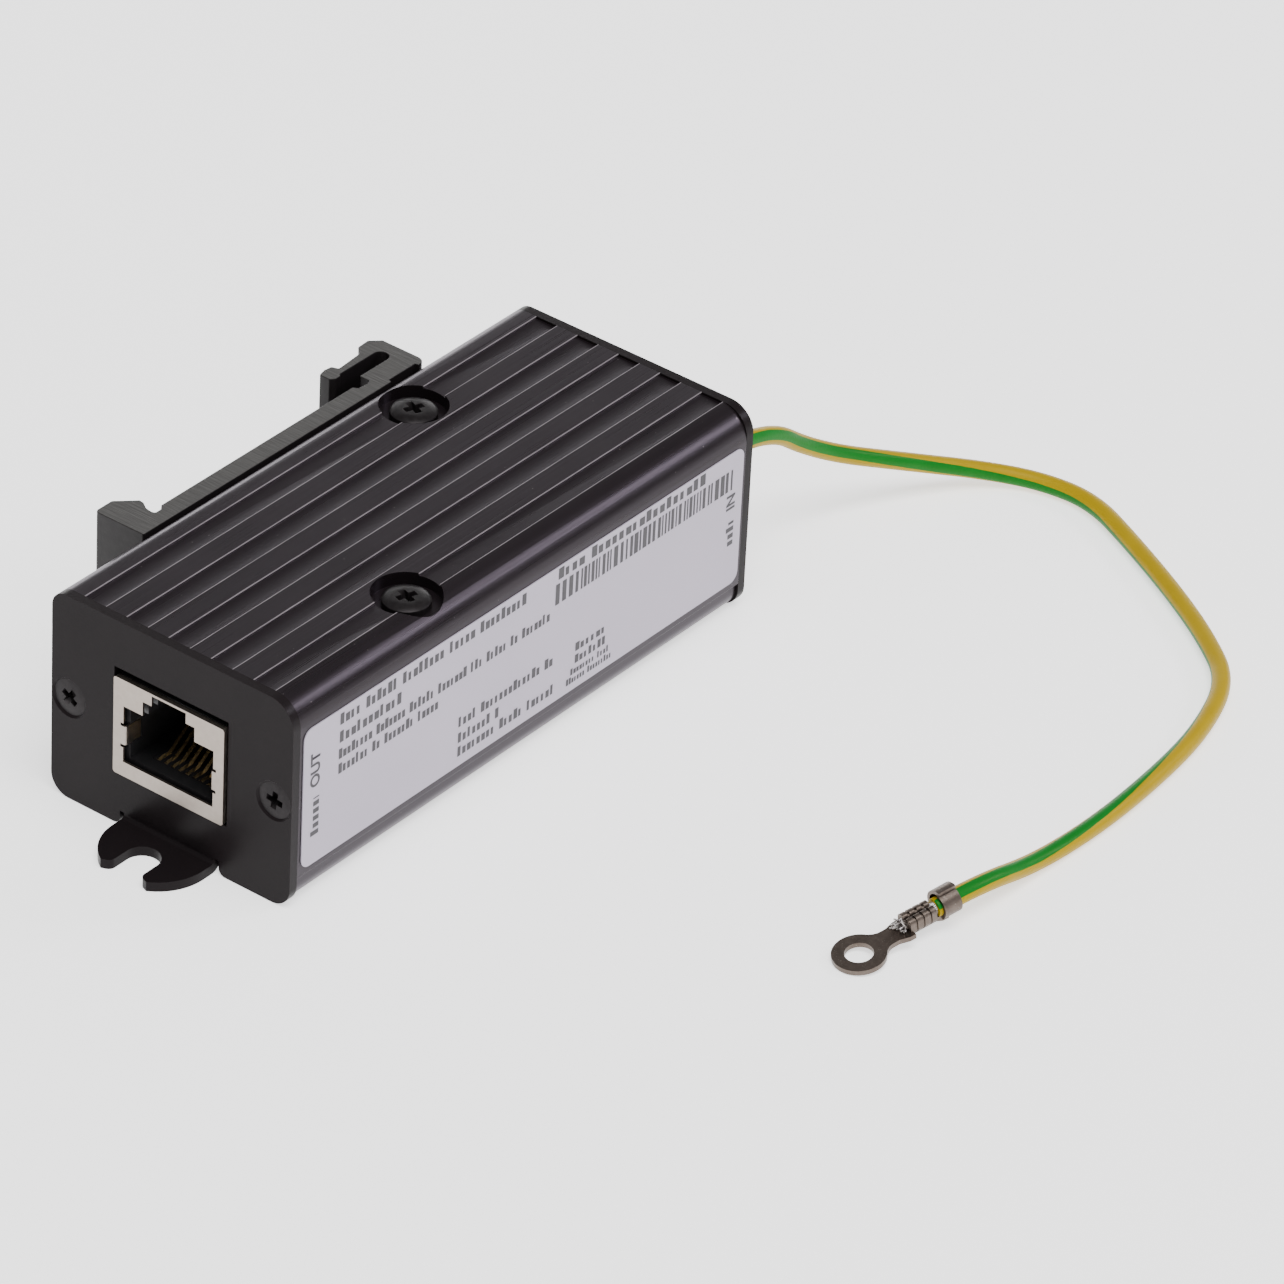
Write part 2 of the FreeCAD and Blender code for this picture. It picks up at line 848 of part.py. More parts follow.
def din_clip_screws():
    """Cheese-head screws through the clip into the housing's side."""
    screws = []
    seat = strip_outer - clip_screw_head_height - head_clearance
    for z in clip_screw_heights():
        start = Vector(clip_screw_x(), seat, z)
        screws.append(cheese_head_screw(
            start, Vector(0, -1, 0), clip_screw_head, clip_screw_head_height,
            clip_screw_diameter, clip_screw_length))
    return screws


def rating_label():
    """Film label on the flat of the -Y side."""
    half = half_tube - label_end_gap
    low = side_step_height + label_lower_gap
    high = flat_top - label_upper_gap
    r = label_corner_radius
    outline = [(half, low, r), (half, high, r), (-half, high, r), (-half, low, r)]
    return along_y(outline, -half_width - label_thickness, -half_width)


def post_middle():
    """X of the earth post, which the lead's end butts against."""
    return lead_inner_end - post_length / 2


def earth_post():
    """Solder post under the board that takes the end of the earth lead."""
    end = lead_inner_end
    low = board_under - post_drop
    half = post_width / 2
    body = block(end - post_length, end, lead_y - half, lead_y + half, low, board_under)
    top = board_over + post_pin_stand
    pin = few_sided(post_pin_diameter / 2, post_middle(), lead_y, board_under, top)
    return fused([body, pin])


def lead_grommet():
    """Rubber grommet pushed into the +X plate, with its flange outside."""
    neck = grommet_neck / 2
    bore = lead_diameter / 2 + lead_bore_clearance
    outer = plate_thickness + grommet_flange_thickness
    profile = [
        (-grommet_neck_stand, bore), (-grommet_neck_stand, neck), (plate_thickness, neck),
        (plate_thickness, grommet_flange / 2), (outer, grommet_flange / 2), (outer, bore),
    ]
    return turned(profile, Vector(half_tube, lead_y, lead_height), Vector(1, 0, 0))


def terminal_frame():
    """Placement of the terminal: ring centre on its underside, lead along its +X."""
    pitch = Rotation(Vector(0, 1, 0), -terminal_pitch)
    yaw = Rotation(Vector(0, 0, 1), terminal_yaw)
    return Placement(terminal_place, yaw.multiply(pitch))


def barrel_axis():
    """Height of the lead's axis over the terminal's underside."""
    return barrel_radius - barrel_sink


def ring_terminal():
    """Crimped ring terminal: ring, tongue, strand barrel and insulation grip."""
    sheet = terminal_sheet
    outer = ring_outer / 2
    axis_z = barrel_axis()
    grip_inner = lead_diameter / 2 + lead_bore_clearance
    grip_outer = grip_inner + grip_sheet
    low = axis_z - grip_outer + barrel_sink
    angle = math.radians(shoulder_angle)
    shoulder_x = outer * math.cos(angle)
    shoulder_y = outer * math.sin(angle)
    neck = neck_width / 2
    neck_x = shoulder_x + (shoulder_y - neck) * math.tan(angle)
    tongue = tongue_width / 2
    right = [
        (0, -shoulder_y), (shoulder_x, -shoulder_y), (neck_x, -neck),
        (barrel_start - tongue_reach, -tongue), (barrel_start, -barrel_radius),
    ]
    left = [(x, -y) for x, y in right]
    flat = along_z(right + left[::-1], 0, sheet)
    ring = Part.makeCylinder(outer, sheet)
    floor_half = floor_width / 2
    back = barrel_start - tongue_reach
    floor = along_y([
        (back, 0), (barrel_end, 0), (grip_start, low), (grip_end, low),
        (grip_end, low + sheet), (grip_start, low + sheet), (barrel_end, sheet), (back, sheet),
    ], -floor_half, floor_half)
    barrel = rod(barrel_radius, Vector(barrel_start, 0, axis_z), Vector(barrel_end, 0, axis_z))
    grip = rod(grip_outer, Vector(grip_start, 0, axis_z), Vector(grip_end, 0, axis_z))
    whole = fused([ring, flat, floor, barrel, grip])
    cuts = [Part.makeCylinder(ring_hole / 2, sheet)]
    bore = strand_radius + lead_bore_clearance
    cuts.append(rod(bore, Vector(strand_start, 0, axis_z), Vector(lead_cut, 0, axis_z)))
    mouth = Vector(lead_cut - lead_bore_clearance, 0, axis_z)
    cuts.append(rod(grip_inner, mouth, Vector(grip_end, 0, axis_z)))
    seam = seam_width / 2
    crown = axis_z + barrel_radius
    cuts.append(along_x([(-seam, crown), (0, axis_z + bore + seam_root), (seam, crown)],
                        barrel_start, barrel_end))
    gap = math.tan(math.radians(grip_opening / 2)) * 2 * grip_outer
    wedge = [(0, axis_z), (gap, axis_z + 2 * grip_outer), (-gap, axis_z + 2 * grip_outer)]
    cuts.append(along_x(wedge, grip_start, grip_end))
    terminal = whole.cut(cuts)
    terminal.Placement = terminal_frame()
    return terminal


def lead_strands():
    """Bare end of the lead, twisted copper, inside the barrel."""
    start = Vector(strand_start, 0, barrel_axis())
    along_lead = Rotation(Vector(0, 0, 1), Vector(1, 0, 0))
    bundle = few_sided(strand_radius, 0, 0, 0, lead_cut - strand_start)
    bundle.Placement = terminal_frame().multiply(Placement(start, along_lead))
    return bundle


def lead_points():
    """All points of the lead's route, from the post to the cut end in the terminal."""
    frame = terminal_frame()
    start = Vector(lead_inner_end, lead_y, lead_height)
    bend = frame.multVec(Vector(lead_last_reach, 0, barrel_axis()))
    end = frame.multVec(Vector(lead_cut, 0, barrel_axis()))
    first = Vector(lead_first_bend, lead_y, lead_height)
    return [start, first] + lead_outside + [bend, end]


def cord_path(points):
    """Straight runs joined by tangent arcs as large as the runs allow."""
    edges = []
    radii = []
    last = points[0]
    for i in range(1, len(points) - 1):
        corner = points[i]
        back = points[i - 1] - corner
        ahead = points[i + 1] - corner
        run = min(back.Length, ahead.Length)
        half = (math.pi - back.getAngle(ahead)) / 2
        reach = arc_share * run
        radius = reach / math.tan(half)
        back.normalize()
        ahead.normalize()
        middle = back + ahead
        middle.normalize()
        start = corner + back * reach
        end = corner + ahead * reach
        top = corner + middle * (radius / math.cos(half) - radius)
        edges.append(Part.LineSegment(last, start).toShape())
        edges.append(Part.Arc(start, top, end).toShape())
        radii.append(radius)
        last = end
    edges.append(Part.LineSegment(last, points[-1]).toShape())
    return Part.Wire(edges), radii


def earth_lead():
    """Insulated wire from the post inside to the ring terminal."""
    points = lead_points()
    path, radii = cord_path(points)
    corners = []
    for i in range(lead_sides):
        angle = 2 * math.pi * i / lead_sides
        spoke = Vector(0, math.cos(angle), math.sin(angle)) * (lead_diameter / 2)
        corners.append(points[0] + spoke)
    section = Part.makePolygon(corners + corners[:1])
    tube = path.makePipeShell([section], True, False)
    area = Part.Face(section).Area
    print("lead radii", [round(r, 1) for r in radii])
    print("lead length", round(path.Length, 1))
    print("lead volume over section times length", round(tube.Volume / (area * path.Length), 4))
    return tube


def save(name, shape):
    """Write one node's STEP file."""
    whole = shape
    if isinstance(shape, list):
        whole = Part.makeCompound(shape)
    whole.exportStep("parts/" + name + ".step")


os.makedirs("parts", exist_ok=True)

save("housing_tube", housing_tube())
save("end_plate_out", end_plate(0))
save("end_plate_in", swapped_ends(end_plate(1)))
save("end_plate_screws", plate_screws())
save("board_screws", board_screws())
save("board_standoffs", board_standoffs())
save("circuit_board", circuit_board())
jack_pieces = {
    "jack_shield": [jack_shield()],
    "jack_insert": [jack_insert()],
    "contact_comb": [contact_comb()],
    "jack_contacts": jack_contacts(),
}
for name, pieces in jack_pieces.items():
    save(name + "_out", pieces)
    save(name + "_in", [swapped_ends(piece) for piece in pieces])
save("gas_discharge_tubes", gas_discharge_tubes())
save("clamping_diodes", clamping_diodes())
save("din_clip", din_clip())
save("din_clip_screws", din_clip_screws())
save("rating_label", rating_label())
save("earth_post", earth_post())
save("lead_grommet", lead_grommet())
save("earth_lead", earth_lead())
save("ring_terminal", ring_terminal())
save("lead_strands", lead_strands())
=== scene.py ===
import cmath
import math
import random

import bmesh
import bpy
from mathutils import Matrix, Vector


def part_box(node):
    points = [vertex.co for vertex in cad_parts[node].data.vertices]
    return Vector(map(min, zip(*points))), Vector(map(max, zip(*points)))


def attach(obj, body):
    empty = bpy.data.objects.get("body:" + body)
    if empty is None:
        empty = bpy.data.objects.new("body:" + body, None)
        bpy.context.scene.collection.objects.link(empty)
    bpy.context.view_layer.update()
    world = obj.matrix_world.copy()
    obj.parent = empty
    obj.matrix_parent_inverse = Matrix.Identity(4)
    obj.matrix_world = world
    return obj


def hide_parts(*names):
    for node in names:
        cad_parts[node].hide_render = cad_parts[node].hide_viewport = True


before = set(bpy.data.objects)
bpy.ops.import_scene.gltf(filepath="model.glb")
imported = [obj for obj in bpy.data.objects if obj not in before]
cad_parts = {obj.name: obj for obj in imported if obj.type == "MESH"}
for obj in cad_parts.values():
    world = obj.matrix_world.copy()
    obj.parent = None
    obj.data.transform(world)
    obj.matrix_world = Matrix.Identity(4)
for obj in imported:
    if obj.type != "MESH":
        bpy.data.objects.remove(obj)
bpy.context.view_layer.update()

# The viewpoint of the photograph: a long lens from above, on the corner of the box at its
# OUT port, tilted a few degrees. Lengths here are in metres and angles in degrees.
azimuth = math.radians(-53.336)
elevation = math.radians(33.879)
roll = math.radians(3.035)
distance = 0.94613
aim_right = -0.02649
aim_down = 0.00592
frame_width = 1284
focal_length_in_pixels = 8515.85
sensor_width = 36.0

towards_camera = Vector((
    math.sin(azimuth) * math.cos(elevation),
    -math.cos(azimuth) * math.cos(elevation),
    math.sin(elevation)))
level_right = (-towards_camera).cross(Vector((0, 0, 1))).normalized()
level_up = level_right.cross(-towards_camera)
picture_right = math.cos(roll) * level_right + math.sin(roll) * level_up
picture_up = math.cos(roll) * level_up - math.sin(roll) * level_right
camera_data = bpy.data.cameras.new("camera")
camera_data.sensor_width = sensor_width
camera_data.lens = sensor_width * focal_length_in_pixels / frame_width
camera = bpy.data.objects.new("camera", camera_data)
turned_to_view = Matrix((picture_right, picture_up, towards_camera)).transposed().to_4x4()
camera_place = distance * towards_camera - aim_right * picture_right + aim_down * picture_up
camera.matrix_world = Matrix.Translation(camera_place) @ turned_to_view
bpy.context.scene.collection.objects.link(camera)
bpy.context.scene.camera = camera

# The studio: a white sweep under the product, lit from below as well, a wide softbox
# overhead, a small one that draws the soft band along the label side's rounded edge, a strip
# low behind the clip side for the bright band along that edge, and a weak fill on the label.
floor_half = 3.0
floor_drop = 0.00005


class Value:
    """A shader value. Arithmetic on it adds Math nodes to its finish."""

    def __init__(self, finish, socket):
        self.finish = finish
        self.socket = socket

    def maths(self, operation, *values):
        settings = {"operation": operation}
        return self.finish.node("ShaderNodeMath", settings, dict(enumerate(values)))

    def __add__(self, other):
        return self.maths("ADD", self, other)

    def __radd__(self, other):
        return self.maths("ADD", other, self)

    def __sub__(self, other):
        return self.maths("SUBTRACT", self, other)

    def __rsub__(self, other):
        return self.maths("SUBTRACT", other, self)

    def __mul__(self, other):
        return self.maths("MULTIPLY", self, other)

    def __rmul__(self, other):
        return self.maths("MULTIPLY", other, self)

    def __abs__(self):
        return self.maths("ABSOLUTE", self)


class Finish:
    """A surface finish in the making: a material, its shader and the nodes that feed it."""

    def __init__(self, name, **uniform):
        self.material = bpy.data.materials.new(name)
        self.material.use_nodes = True
        self.tree = self.material.node_tree
        self.shader = self.tree.nodes["Principled BSDF"]
        for word, value in uniform.items():
            self.shader.inputs[word.replace("_", " ")].default_value = value

    def node(self, kind, settings=None, values=None, output=0):
        """Adds a node: its settings first, then the values or links of its sockets."""
        made = self.tree.nodes.new(kind)
        for word, setting in (settings or {}).items():
            setattr(made, word, setting)
        for word, value in (values or {}).items():
            if isinstance(value, Value):
                self.tree.links.new(value.socket, made.inputs[word])
            else:
                made.inputs[word].default_value = value
        return Value(self, made.outputs[output])

    def place(self, across=1.0, along=1.0, up=1.0):
        """Where a point is, in millimetres, with each axis stretched by a factor."""
        here = self.node("ShaderNodeTexCoord", output="Object")
        scale = (1000 * across, 1000 * along, 1000 * up)
        return self.node("ShaderNodeVectorMath", {"operation": "MULTIPLY"}, {0: here, 1: scale})

    def axes(self, vector):
        """The three parts of a vector."""
        split = self.node("ShaderNodeSeparateXYZ", values={0: vector})
        outputs = split.socket.node.outputs
        return [Value(self, output) for output in outputs]

    def noise(self, scale, detail=3.0, roughness=0.5, where=None):
        """Noise from 0 to 1 with about scale features in a millimetre."""
        values = {"Scale": scale, "Detail": detail, "Roughness": roughness}
        values["Vector"] = where or self.place()
        return self.node("ShaderNodeTexNoise", values=values)

    def between(self, value, low, high, to_low=0.0, to_high=1.0):
        """Smooth step of a value from one level to another."""
        values = {
            "Value": value, "From Min": low, "From Max": high, "To Min": to_low, "To Max": to_high}
        return self.node("ShaderNodeMapRange", {"interpolation_type": "SMOOTHSTEP"}, values)

    def mix(self, share, first, second):
        """Colour between two others."""
        values = {0: share, 6: first, 7: second}
        return self.node("ShaderNodeMix", {"data_type": "RGBA"}, values, output=2)

    def feed(self, word, value):
        """Links a value to one of the shader's sockets."""
        self.tree.links.new(value.socket, self.shader.inputs[word])

    def relief(self, height, depth):
        """Bumps the surface by a height of depth millimetres."""
        values = {"Height": height, "Distance": depth * 0.001, "Strength": 1.0}
        self.feed("Normal", self.node("ShaderNodeBump", values=values))


def light(name, place, aim, size, power, tint=(1.0, 1.0, 1.0)):
    """Rectangular softbox, in metres, turned towards a point."""
    data = bpy.data.lights.new(name, "AREA")
    data.shape = "RECTANGLE"
    data.size, data.size_y = size
    data.energy = power
    data.color = tint
    lamp = bpy.data.objects.new(name, data)
    lamp.location = place
    lamp.rotation_euler = (Vector(aim) - Vector(place)).to_track_quat("-Z", "Y").to_euler()
    bpy.context.scene.collection.objects.link(lamp)


sweep = Finish("white_sweep", Roughness=0.9, Emission_Color=(1, 1, 1, 1), Emission_Strength=1.2)
paper_grain = sweep.noise(0.4)
sweep.feed("Base Color", sweep.mix(paper_grain, (0.88, 0.88, 0.88, 1), (0.90, 0.90, 0.90, 1)))
floor_mesh = bpy.data.meshes.new("studio_floor")
floor_corners = [(-1, -1), (1, -1), (1, 1), (-1, 1)]
floor_mesh.from_pydata(
    [(a * floor_half, b * floor_half, -floor_drop) for a, b in floor_corners], [], [(0, 1, 2, 3)])
floor_mesh.materials.append(sweep.material)
studio_floor = bpy.data.objects.new("studio_floor", floor_mesh)
bpy.context.scene.collection.objects.link(studio_floor)

studio_air = bpy.data.worlds.new("studio_air")
studio_air.use_nodes = True
studio_air.node_tree.nodes["Background"].inputs["Color"].default_value = (1.0, 1.0, 1.0, 1)
studio_air.node_tree.nodes["Background"].inputs["Strength"].default_value = 0.4
bpy.context.scene.world = studio_air
light("overhead_softbox", (-0.3, -0.5, 1.6), (0, 0, 0), (1.2, 0.9), 34)
light("edge_softbox", (1.06, -0.86, 0.82), (0, 0, 0.02), (0.42, 0.3), 7, (0.94, 0.88, 1.0))
light("back_strip", (1.1, 1.12, 0.27), (0, 0, 0.02), (1.7, 0.4), 11)
light("label_fill", (-0.1, -1.3, 0.35), (0, 0, 0.01), (0.8, 0.5), 2)

# The earth lead: a stranded copper wire in green and yellow PVC, 2.2 mm over the
# insulation. It comes out of the plate at the IN port, drops to the floor, turns back in
# a loose loop and ends in its ring terminal. The green stripe rolls over along the way.
MM = 0.001
lead_diameter = 2.2
lead_around = 28
lead_rest = lead_diameter / 2 + 0.02
lead_route = [
    (34.0, -11.6, 18.0), (48.0, -11.6, 18.0), (59.0, -12.2, 9.4), (70.8, -17.2, 4.5),
    (78.6, -22.0, 1.8), (82.2, -28.0, lead_rest), (82.6, -35.0, lead_rest),
    (78.6, -43.2, lead_rest), (73.4, -52.8, lead_rest), (68.2, -61.0, lead_rest),
    (62.6, -67.8, lead_rest), (52.6, -71.3, lead_rest), (42.4, -72.7, lead_rest),
    (30.4, -73.3, lead_rest), (19.6, -72.5, lead_rest), (9.63, -72.34, 3.81),
    (3.61, -70.71, 2.93),
]
stripe_rolls = [
    (0.0, 60), (0.09, 60), (0.13, 74), (0.2, 66), (0.27, 92), (0.34, 120), (0.44, 136),
    (0.52, 142), (0.62, 129), (0.71, 77), (0.8, 32), (0.86, 9), (0.9, -5), (1.0, -14),
]


def shown(name, mesh):
    """Object of a mesh, in the scene."""
    piece = bpy.data.objects.new(name, mesh)
    bpy.context.scene.collection.objects.link(piece)
    return piece


def fitted(piece, finish, slot, *nodes):
    """Gives a piece its finish and lets it stand for its CAD nodes. The slot argument is not used.
    """
    piece.data.materials.clear()
    piece.data.materials.append(finish.material)
    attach(piece, "root")
    if nodes:
        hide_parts(*nodes)


def along_table(table, share):
    """Value at a share along a table of (share, value) rows."""
    for (low, first), (high, last) in zip(table, table[1:]):
        if share <= high:
            return first + (last - first) * (share - low) / (high - low)
    return table[-1][1]


def route_line(points):
    """Points of the smooth line that a wire's route gives, in metres."""
    curve = bpy.data.curves.new("route", "CURVE")
    curve.dimensions = "3D"
    spline = curve.splines.new("NURBS")
    spline.points.add(len(points) - 1)
    for point, place in zip(spline.points, points):
        point.co = (*(Vector(place) * MM), 1.0)
    spline.order_u = 3
    spline.use_endpoint_u = True
    spline.resolution_u = 16
    holder = shown("route", curve)
    line = bpy.data.meshes.new_from_object(holder)
    places = [vertex.co.copy() for vertex in line.vertices]
    bpy.data.objects.remove(holder)
    return places


def wire(name, places, radius, around, rolls=None):
    """Tube along a line of points, with how far each point is from the stripe's middle."""
    lengths = [0.0]
    for first, second in zip(places, places[1:]):
        lengths.append(lengths[-1] + (second - first).length)
    mesh = bmesh.new()
    stripe = mesh.verts.layers.float.new("stripe")
    rings = []
    side = None
    for i, here in enumerate(places):
        ahead = (places[min(i + 1, len(places) - 1)] - places[max(i - 1, 0)]).normalized()
        if side is None:
            side = ahead.cross(Vector((0, 0, 1)))
        side = (side - side.dot(ahead) * ahead).normalized()
        top = side.cross(ahead)
        share = lengths[i] / lengths[-1]
        middle = math.radians(along_table(rolls, share)) if rolls else 0.0
        ring = []
        for k in range(around):
            angle = 2 * math.pi * k / around
            spoke = top * math.cos(angle) + side * math.sin(angle)
            vertex = mesh.verts.new(here + spoke * radius * MM)
            vertex[stripe] = math.cos(angle - middle)
            ring.append(vertex)
        rings.append(ring)
    for first, second in zip(rings, rings[1:]):
        for k in range(around):
            following = (k + 1) % around
            mesh.faces.new((first[k], second[k], second[following], first[following]))
    mesh.faces.new(rings[0])
    mesh.faces.new(rings[-1][::-1])
    bmesh.ops.recalc_face_normals(mesh, faces=mesh.faces)
    data = bpy.data.meshes.new(name)
    mesh.to_mesh(data)
    mesh.free()
    data.shade_smooth()
    return shown(name, data)


lead_line = route_line(lead_route)
earth_lead = wire("green_yellow_lead", lead_line, lead_diameter / 2, lead_around, stripe_rolls)
ends_cut = earth_lead.modifiers.new("cut ends", "BEVEL")
ends_cut.width = 0.12 * MM
ends_cut.segments = 2
ends_cut.limit_method = "ANGLE"
ends_cut.angle_limit = math.radians(60)

pvc = Finish("green_yellow_pvc", Roughness=0.42, Specular_IOR_Level=0.15,
             Specular_Tint=(1.0, 0.85, 0.35, 1))
from_stripe = pvc.node("ShaderNodeAttribute", {"attribute_name": "stripe"}, output="Fac")
print_waver = pvc.noise(0.6, 2.0) * 0.04
in_stripe = pvc.between(from_stripe + print_waver, 0.83, 0.86)
blotch = pvc.noise(0.35, 4.0)
yellow = pvc.mix(blotch, (0.31, 0.205, 0.0, 1), (0.37, 0.25, 0.0, 1))
green = pvc.mix(blotch, (0.0, 0.115, 0.010, 1), (0.0, 0.15, 0.016, 1))
pvc.feed("Base Color", pvc.mix(in_stripe, yellow, green))
pvc.feed("Roughness", 0.32 + pvc.noise(2.5) * 0.14)
pvc.relief(pvc.noise(3.0, 4.0), 0.02)
fitted(earth_lead, pvc, "lead", "earth_lead")

# The ring terminal: tinned copper sheet, stamped and formed. Its barrel is crimped over the
# bare strands, which splay out in front, and its wings are curled round the insulation.
# Measures are from the middle of the ring's underside, with the lead along the first axis.
ring_place = (-6.0, -68.12, 0.43)
ring_yaw = math.radians(-15.1)
ring_pitch = math.radians(-8.0)
ring_radius = 3.03
ring_hole = 1.6
ring_sheet = 0.6
lead_axis = 1.09
barrel_start = 6.2
barrel_ridge = 0.62
barrel_valley = 0.34
barrel_ridges = 4
grip_start = 10.6
grip_end = 12.9
grip_radius = 1.35
grip_sheet = 0.4
wing_swell = 0.52
strand_count = 17
strand_radius = 0.12


def rounded(corners, steps=6):
    """Closed outline through (a, b) or (a, b, radius) corners, with arcs at the radii."""
    points = []
    for i, corner in enumerate(corners):
        here = complex(*corner[:2])
        if len(corner) == 2:
            points.append(here)
            continue
        back = complex(*corners[i - 1][:2]) - here
        ahead = complex(*corners[(i + 1) % len(corners)][:2]) - here
        back /= abs(back)
        ahead /= abs(ahead)
        half = abs(cmath.phase(ahead / back)) / 2
        reach = corner[2] / math.tan(half)
        centre = here + (back + ahead) / abs(back + ahead) * corner[2] / math.sin(half)
        start = here + back * reach - centre
        turn = cmath.phase((here + ahead * reach - centre) / start)
        for k in range(steps + 1):
            points.append(centre + start * cmath.exp(1j * turn * k / steps))
    return [(point.real, point.imag) for point in points]


def prism(name, outline, axis, low, high):
    """Solid of an outline held square to an axis, between two places along it."""
    seats = {
        "x": lambda a, b, t: (t, a, b),
        "y": lambda a, b, t: (a, t, b),
        "z": lambda a, b, t: (a, b, t),
    }
    mesh = bmesh.new()
    ends = []
    for t in (low, high):
        ends.append([mesh.verts.new(Vector(seats[axis](a, b, t)) * MM) for a, b in outline])
    mesh.faces.new(ends[0])
    mesh.faces.new(ends[1][::-1])
    for i in range(len(outline)):
        j = (i + 1) % len(outline)
        mesh.faces.new((ends[0][i], ends[0][j], ends[1][j], ends[1][i]))
    bmesh.ops.recalc_face_normals(mesh, faces=mesh.faces)
    data = bpy.data.meshes.new(name)
    mesh.to_mesh(data)
    mesh.free()
    return shown(name, data)


def turned(name, profile, start, direction, steps=48):
    """Solid of revolution of (along, radius) points about a line from a start point."""
    facing = Vector(direction).to_track_quat("Z", "Y").to_matrix()
    start = Vector(start)
    mesh = bmesh.new()
    rings = []
    for along, radius in profile:
        if radius == 0:
            rings.append([mesh.verts.new((start + facing @ Vector((0, 0, along))) * MM)])
            continue
        ring = []
        for k in range(steps):
            angle = 2 * math.pi * k / steps
            spoke = Vector((radius * math.cos(angle), radius * math.sin(angle), along))
            ring.append(mesh.verts.new((start + facing @ spoke) * MM))
        rings.append(ring)
    pairs = list(zip(rings, rings[1:]))
    if len(rings[0]) > 1:
        pairs.append((rings[-1], rings[0]))
    for first, second in pairs:
        for k in range(steps):
            following = (k + 1) % steps
            corners = [first[k % len(first)], first[following % len(first)],
                       second[following % len(second)], second[k % len(second)]]
            mesh.faces.new(list(dict.fromkeys(corners)))
    bmesh.ops.recalc_face_normals(mesh, faces=mesh.faces)
    data = bpy.data.meshes.new(name)
    mesh.to_mesh(data)
    mesh.free()
    return shown(name, data)


def bore(radius, start, direction, length, steps=48):
    """Round tool that cuts a hole."""
    profile = [(0, 0), (0, radius), (length, radius), (length, 0)]
    return turned("bore", profile, start, direction, steps)


def combined(piece, others, operation):
    """Cuts other solids from a piece, joins them to it, or keeps what they share."""
    for other in others:
        step = piece.modifiers.new("step", "BOOLEAN")
        step.operation = operation
        step.solver = "EXACT"
        step.object = other
    seen = piece.evaluated_get(bpy.context.evaluated_depsgraph_get())
    mesh = bpy.data.meshes.new_from_object(seen)
    piece.modifiers.clear()
    piece.data = mesh
    for other in others:
        bpy.data.objects.remove(other)
    return piece


def eased(piece, width, segments=2, sharper_than=32):
    """Breaks a piece's sharp edges by a small bevel, and smooths its round faces."""
    piece.data.shade_smooth()
    break_edges = piece.modifiers.new("broken edges", "BEVEL")
    break_edges.width = width * MM
    break_edges.segments = segments
    break_edges.limit_method = "ANGLE"
    break_edges.angle_limit = math.radians(sharper_than)
    break_edges.harden_normals = True
    return piece


def band(path, thickness):
    """Outline of a bent sheet from the points along its middle."""
    sides = ([], [])
    for i, here in enumerate(path):
        ahead = path[min(i + 1, len(path) - 1)] - path[max(i - 1, 0)]
        across = ahead / abs(ahead) * 1j * thickness / 2
        sides[0].append(here + across)
        sides[1].append(here - across)
    return [(point.real, point.imag) for point in sides[0] + sides[1][::-1]]


def joined(name, pieces):
    """One object from several meshes."""
    mesh = bmesh.new()
    for piece in pieces:
        mesh.from_mesh(piece.data)
        bpy.data.objects.remove(piece)
    data = bpy.data.meshes.new(name)
    mesh.to_mesh(data)
    mesh.free()
    return shown(name, data)


def crimped_terminal():
    """Ring, neck, ridged barrel and insulation grip, in the terminal's own measures."""
    plan = []
    for k in range(49):
        angle = math.radians(36 + 288 * k / 48)
        plan.append((ring_radius * math.cos(angle), ring_radius * math.sin(angle)))
    plan += rounded([
        (3.0, -1.4), (3.5, -1.24), (4.5, -1.22, 1.2), (5.7, -1.6, 0.5), (6.5, -1.6),
        (6.5, 1.6), (5.7, 1.6, 0.5), (4.5, 1.22, 1.2), (3.5, 1.24), (3.0, 1.4)], 4)
    body = prism("crimped_ring", plan, "z", 0, ring_sheet)
    floor = prism("floor", [
        (5.4, 0), (9.8, 0), (10.7, -0.42), (11.5, -0.42), (11.5, 0.1), (9.8, 0.55), (5.4, 0.55)],
        "y", -0.85, 0.85)
    parts = [floor]
    x = barrel_start
    for ridge in range(2 * barrel_ridges - 1):
        swell = 1.0 if ridge % 2 == 0 else 0.9
        length = barrel_ridge if ridge % 2 == 0 else barrel_valley
        lobes = [
            (-0.8, 0.0, 0.2), (0.8, 0.0, 0.2), (1.18, 0.5, 0.3), (1.18, 1.95, 0.55),
            (0.14, 2.05, 0.4), (0, 1.1), (-0.14, 2.05, 0.4), (-1.18, 1.95, 0.55),
            (-1.18, 0.5, 0.3)]
        section = []
        for y, z in rounded(lobes, 4):
            section.append((y * swell, 0.02 + z * swell))
        parts.append(prism("ridge", section, "x", x - 0.02, x + length + 0.02))
        x += length
    path = []
    for k in range(31):
        turn = 94 + (463 - 94) * k / 30
        swell = wing_swell * max(0, turn - 320) / 143
        spoke = cmath.exp(1j * math.radians(turn))
        path.append(complex(0, lead_axis) + (grip_radius + swell) * spoke)
    parts.append(prism("wings", band(path, grip_sheet), "x", grip_start, grip_end))
    combined(body, parts, "UNION")
    combined(body, [bore(ring_hole, (0, 0, -1), (0, 0, 1), 3, 48)], "DIFFERENCE")
    return eased(body, 0.06)


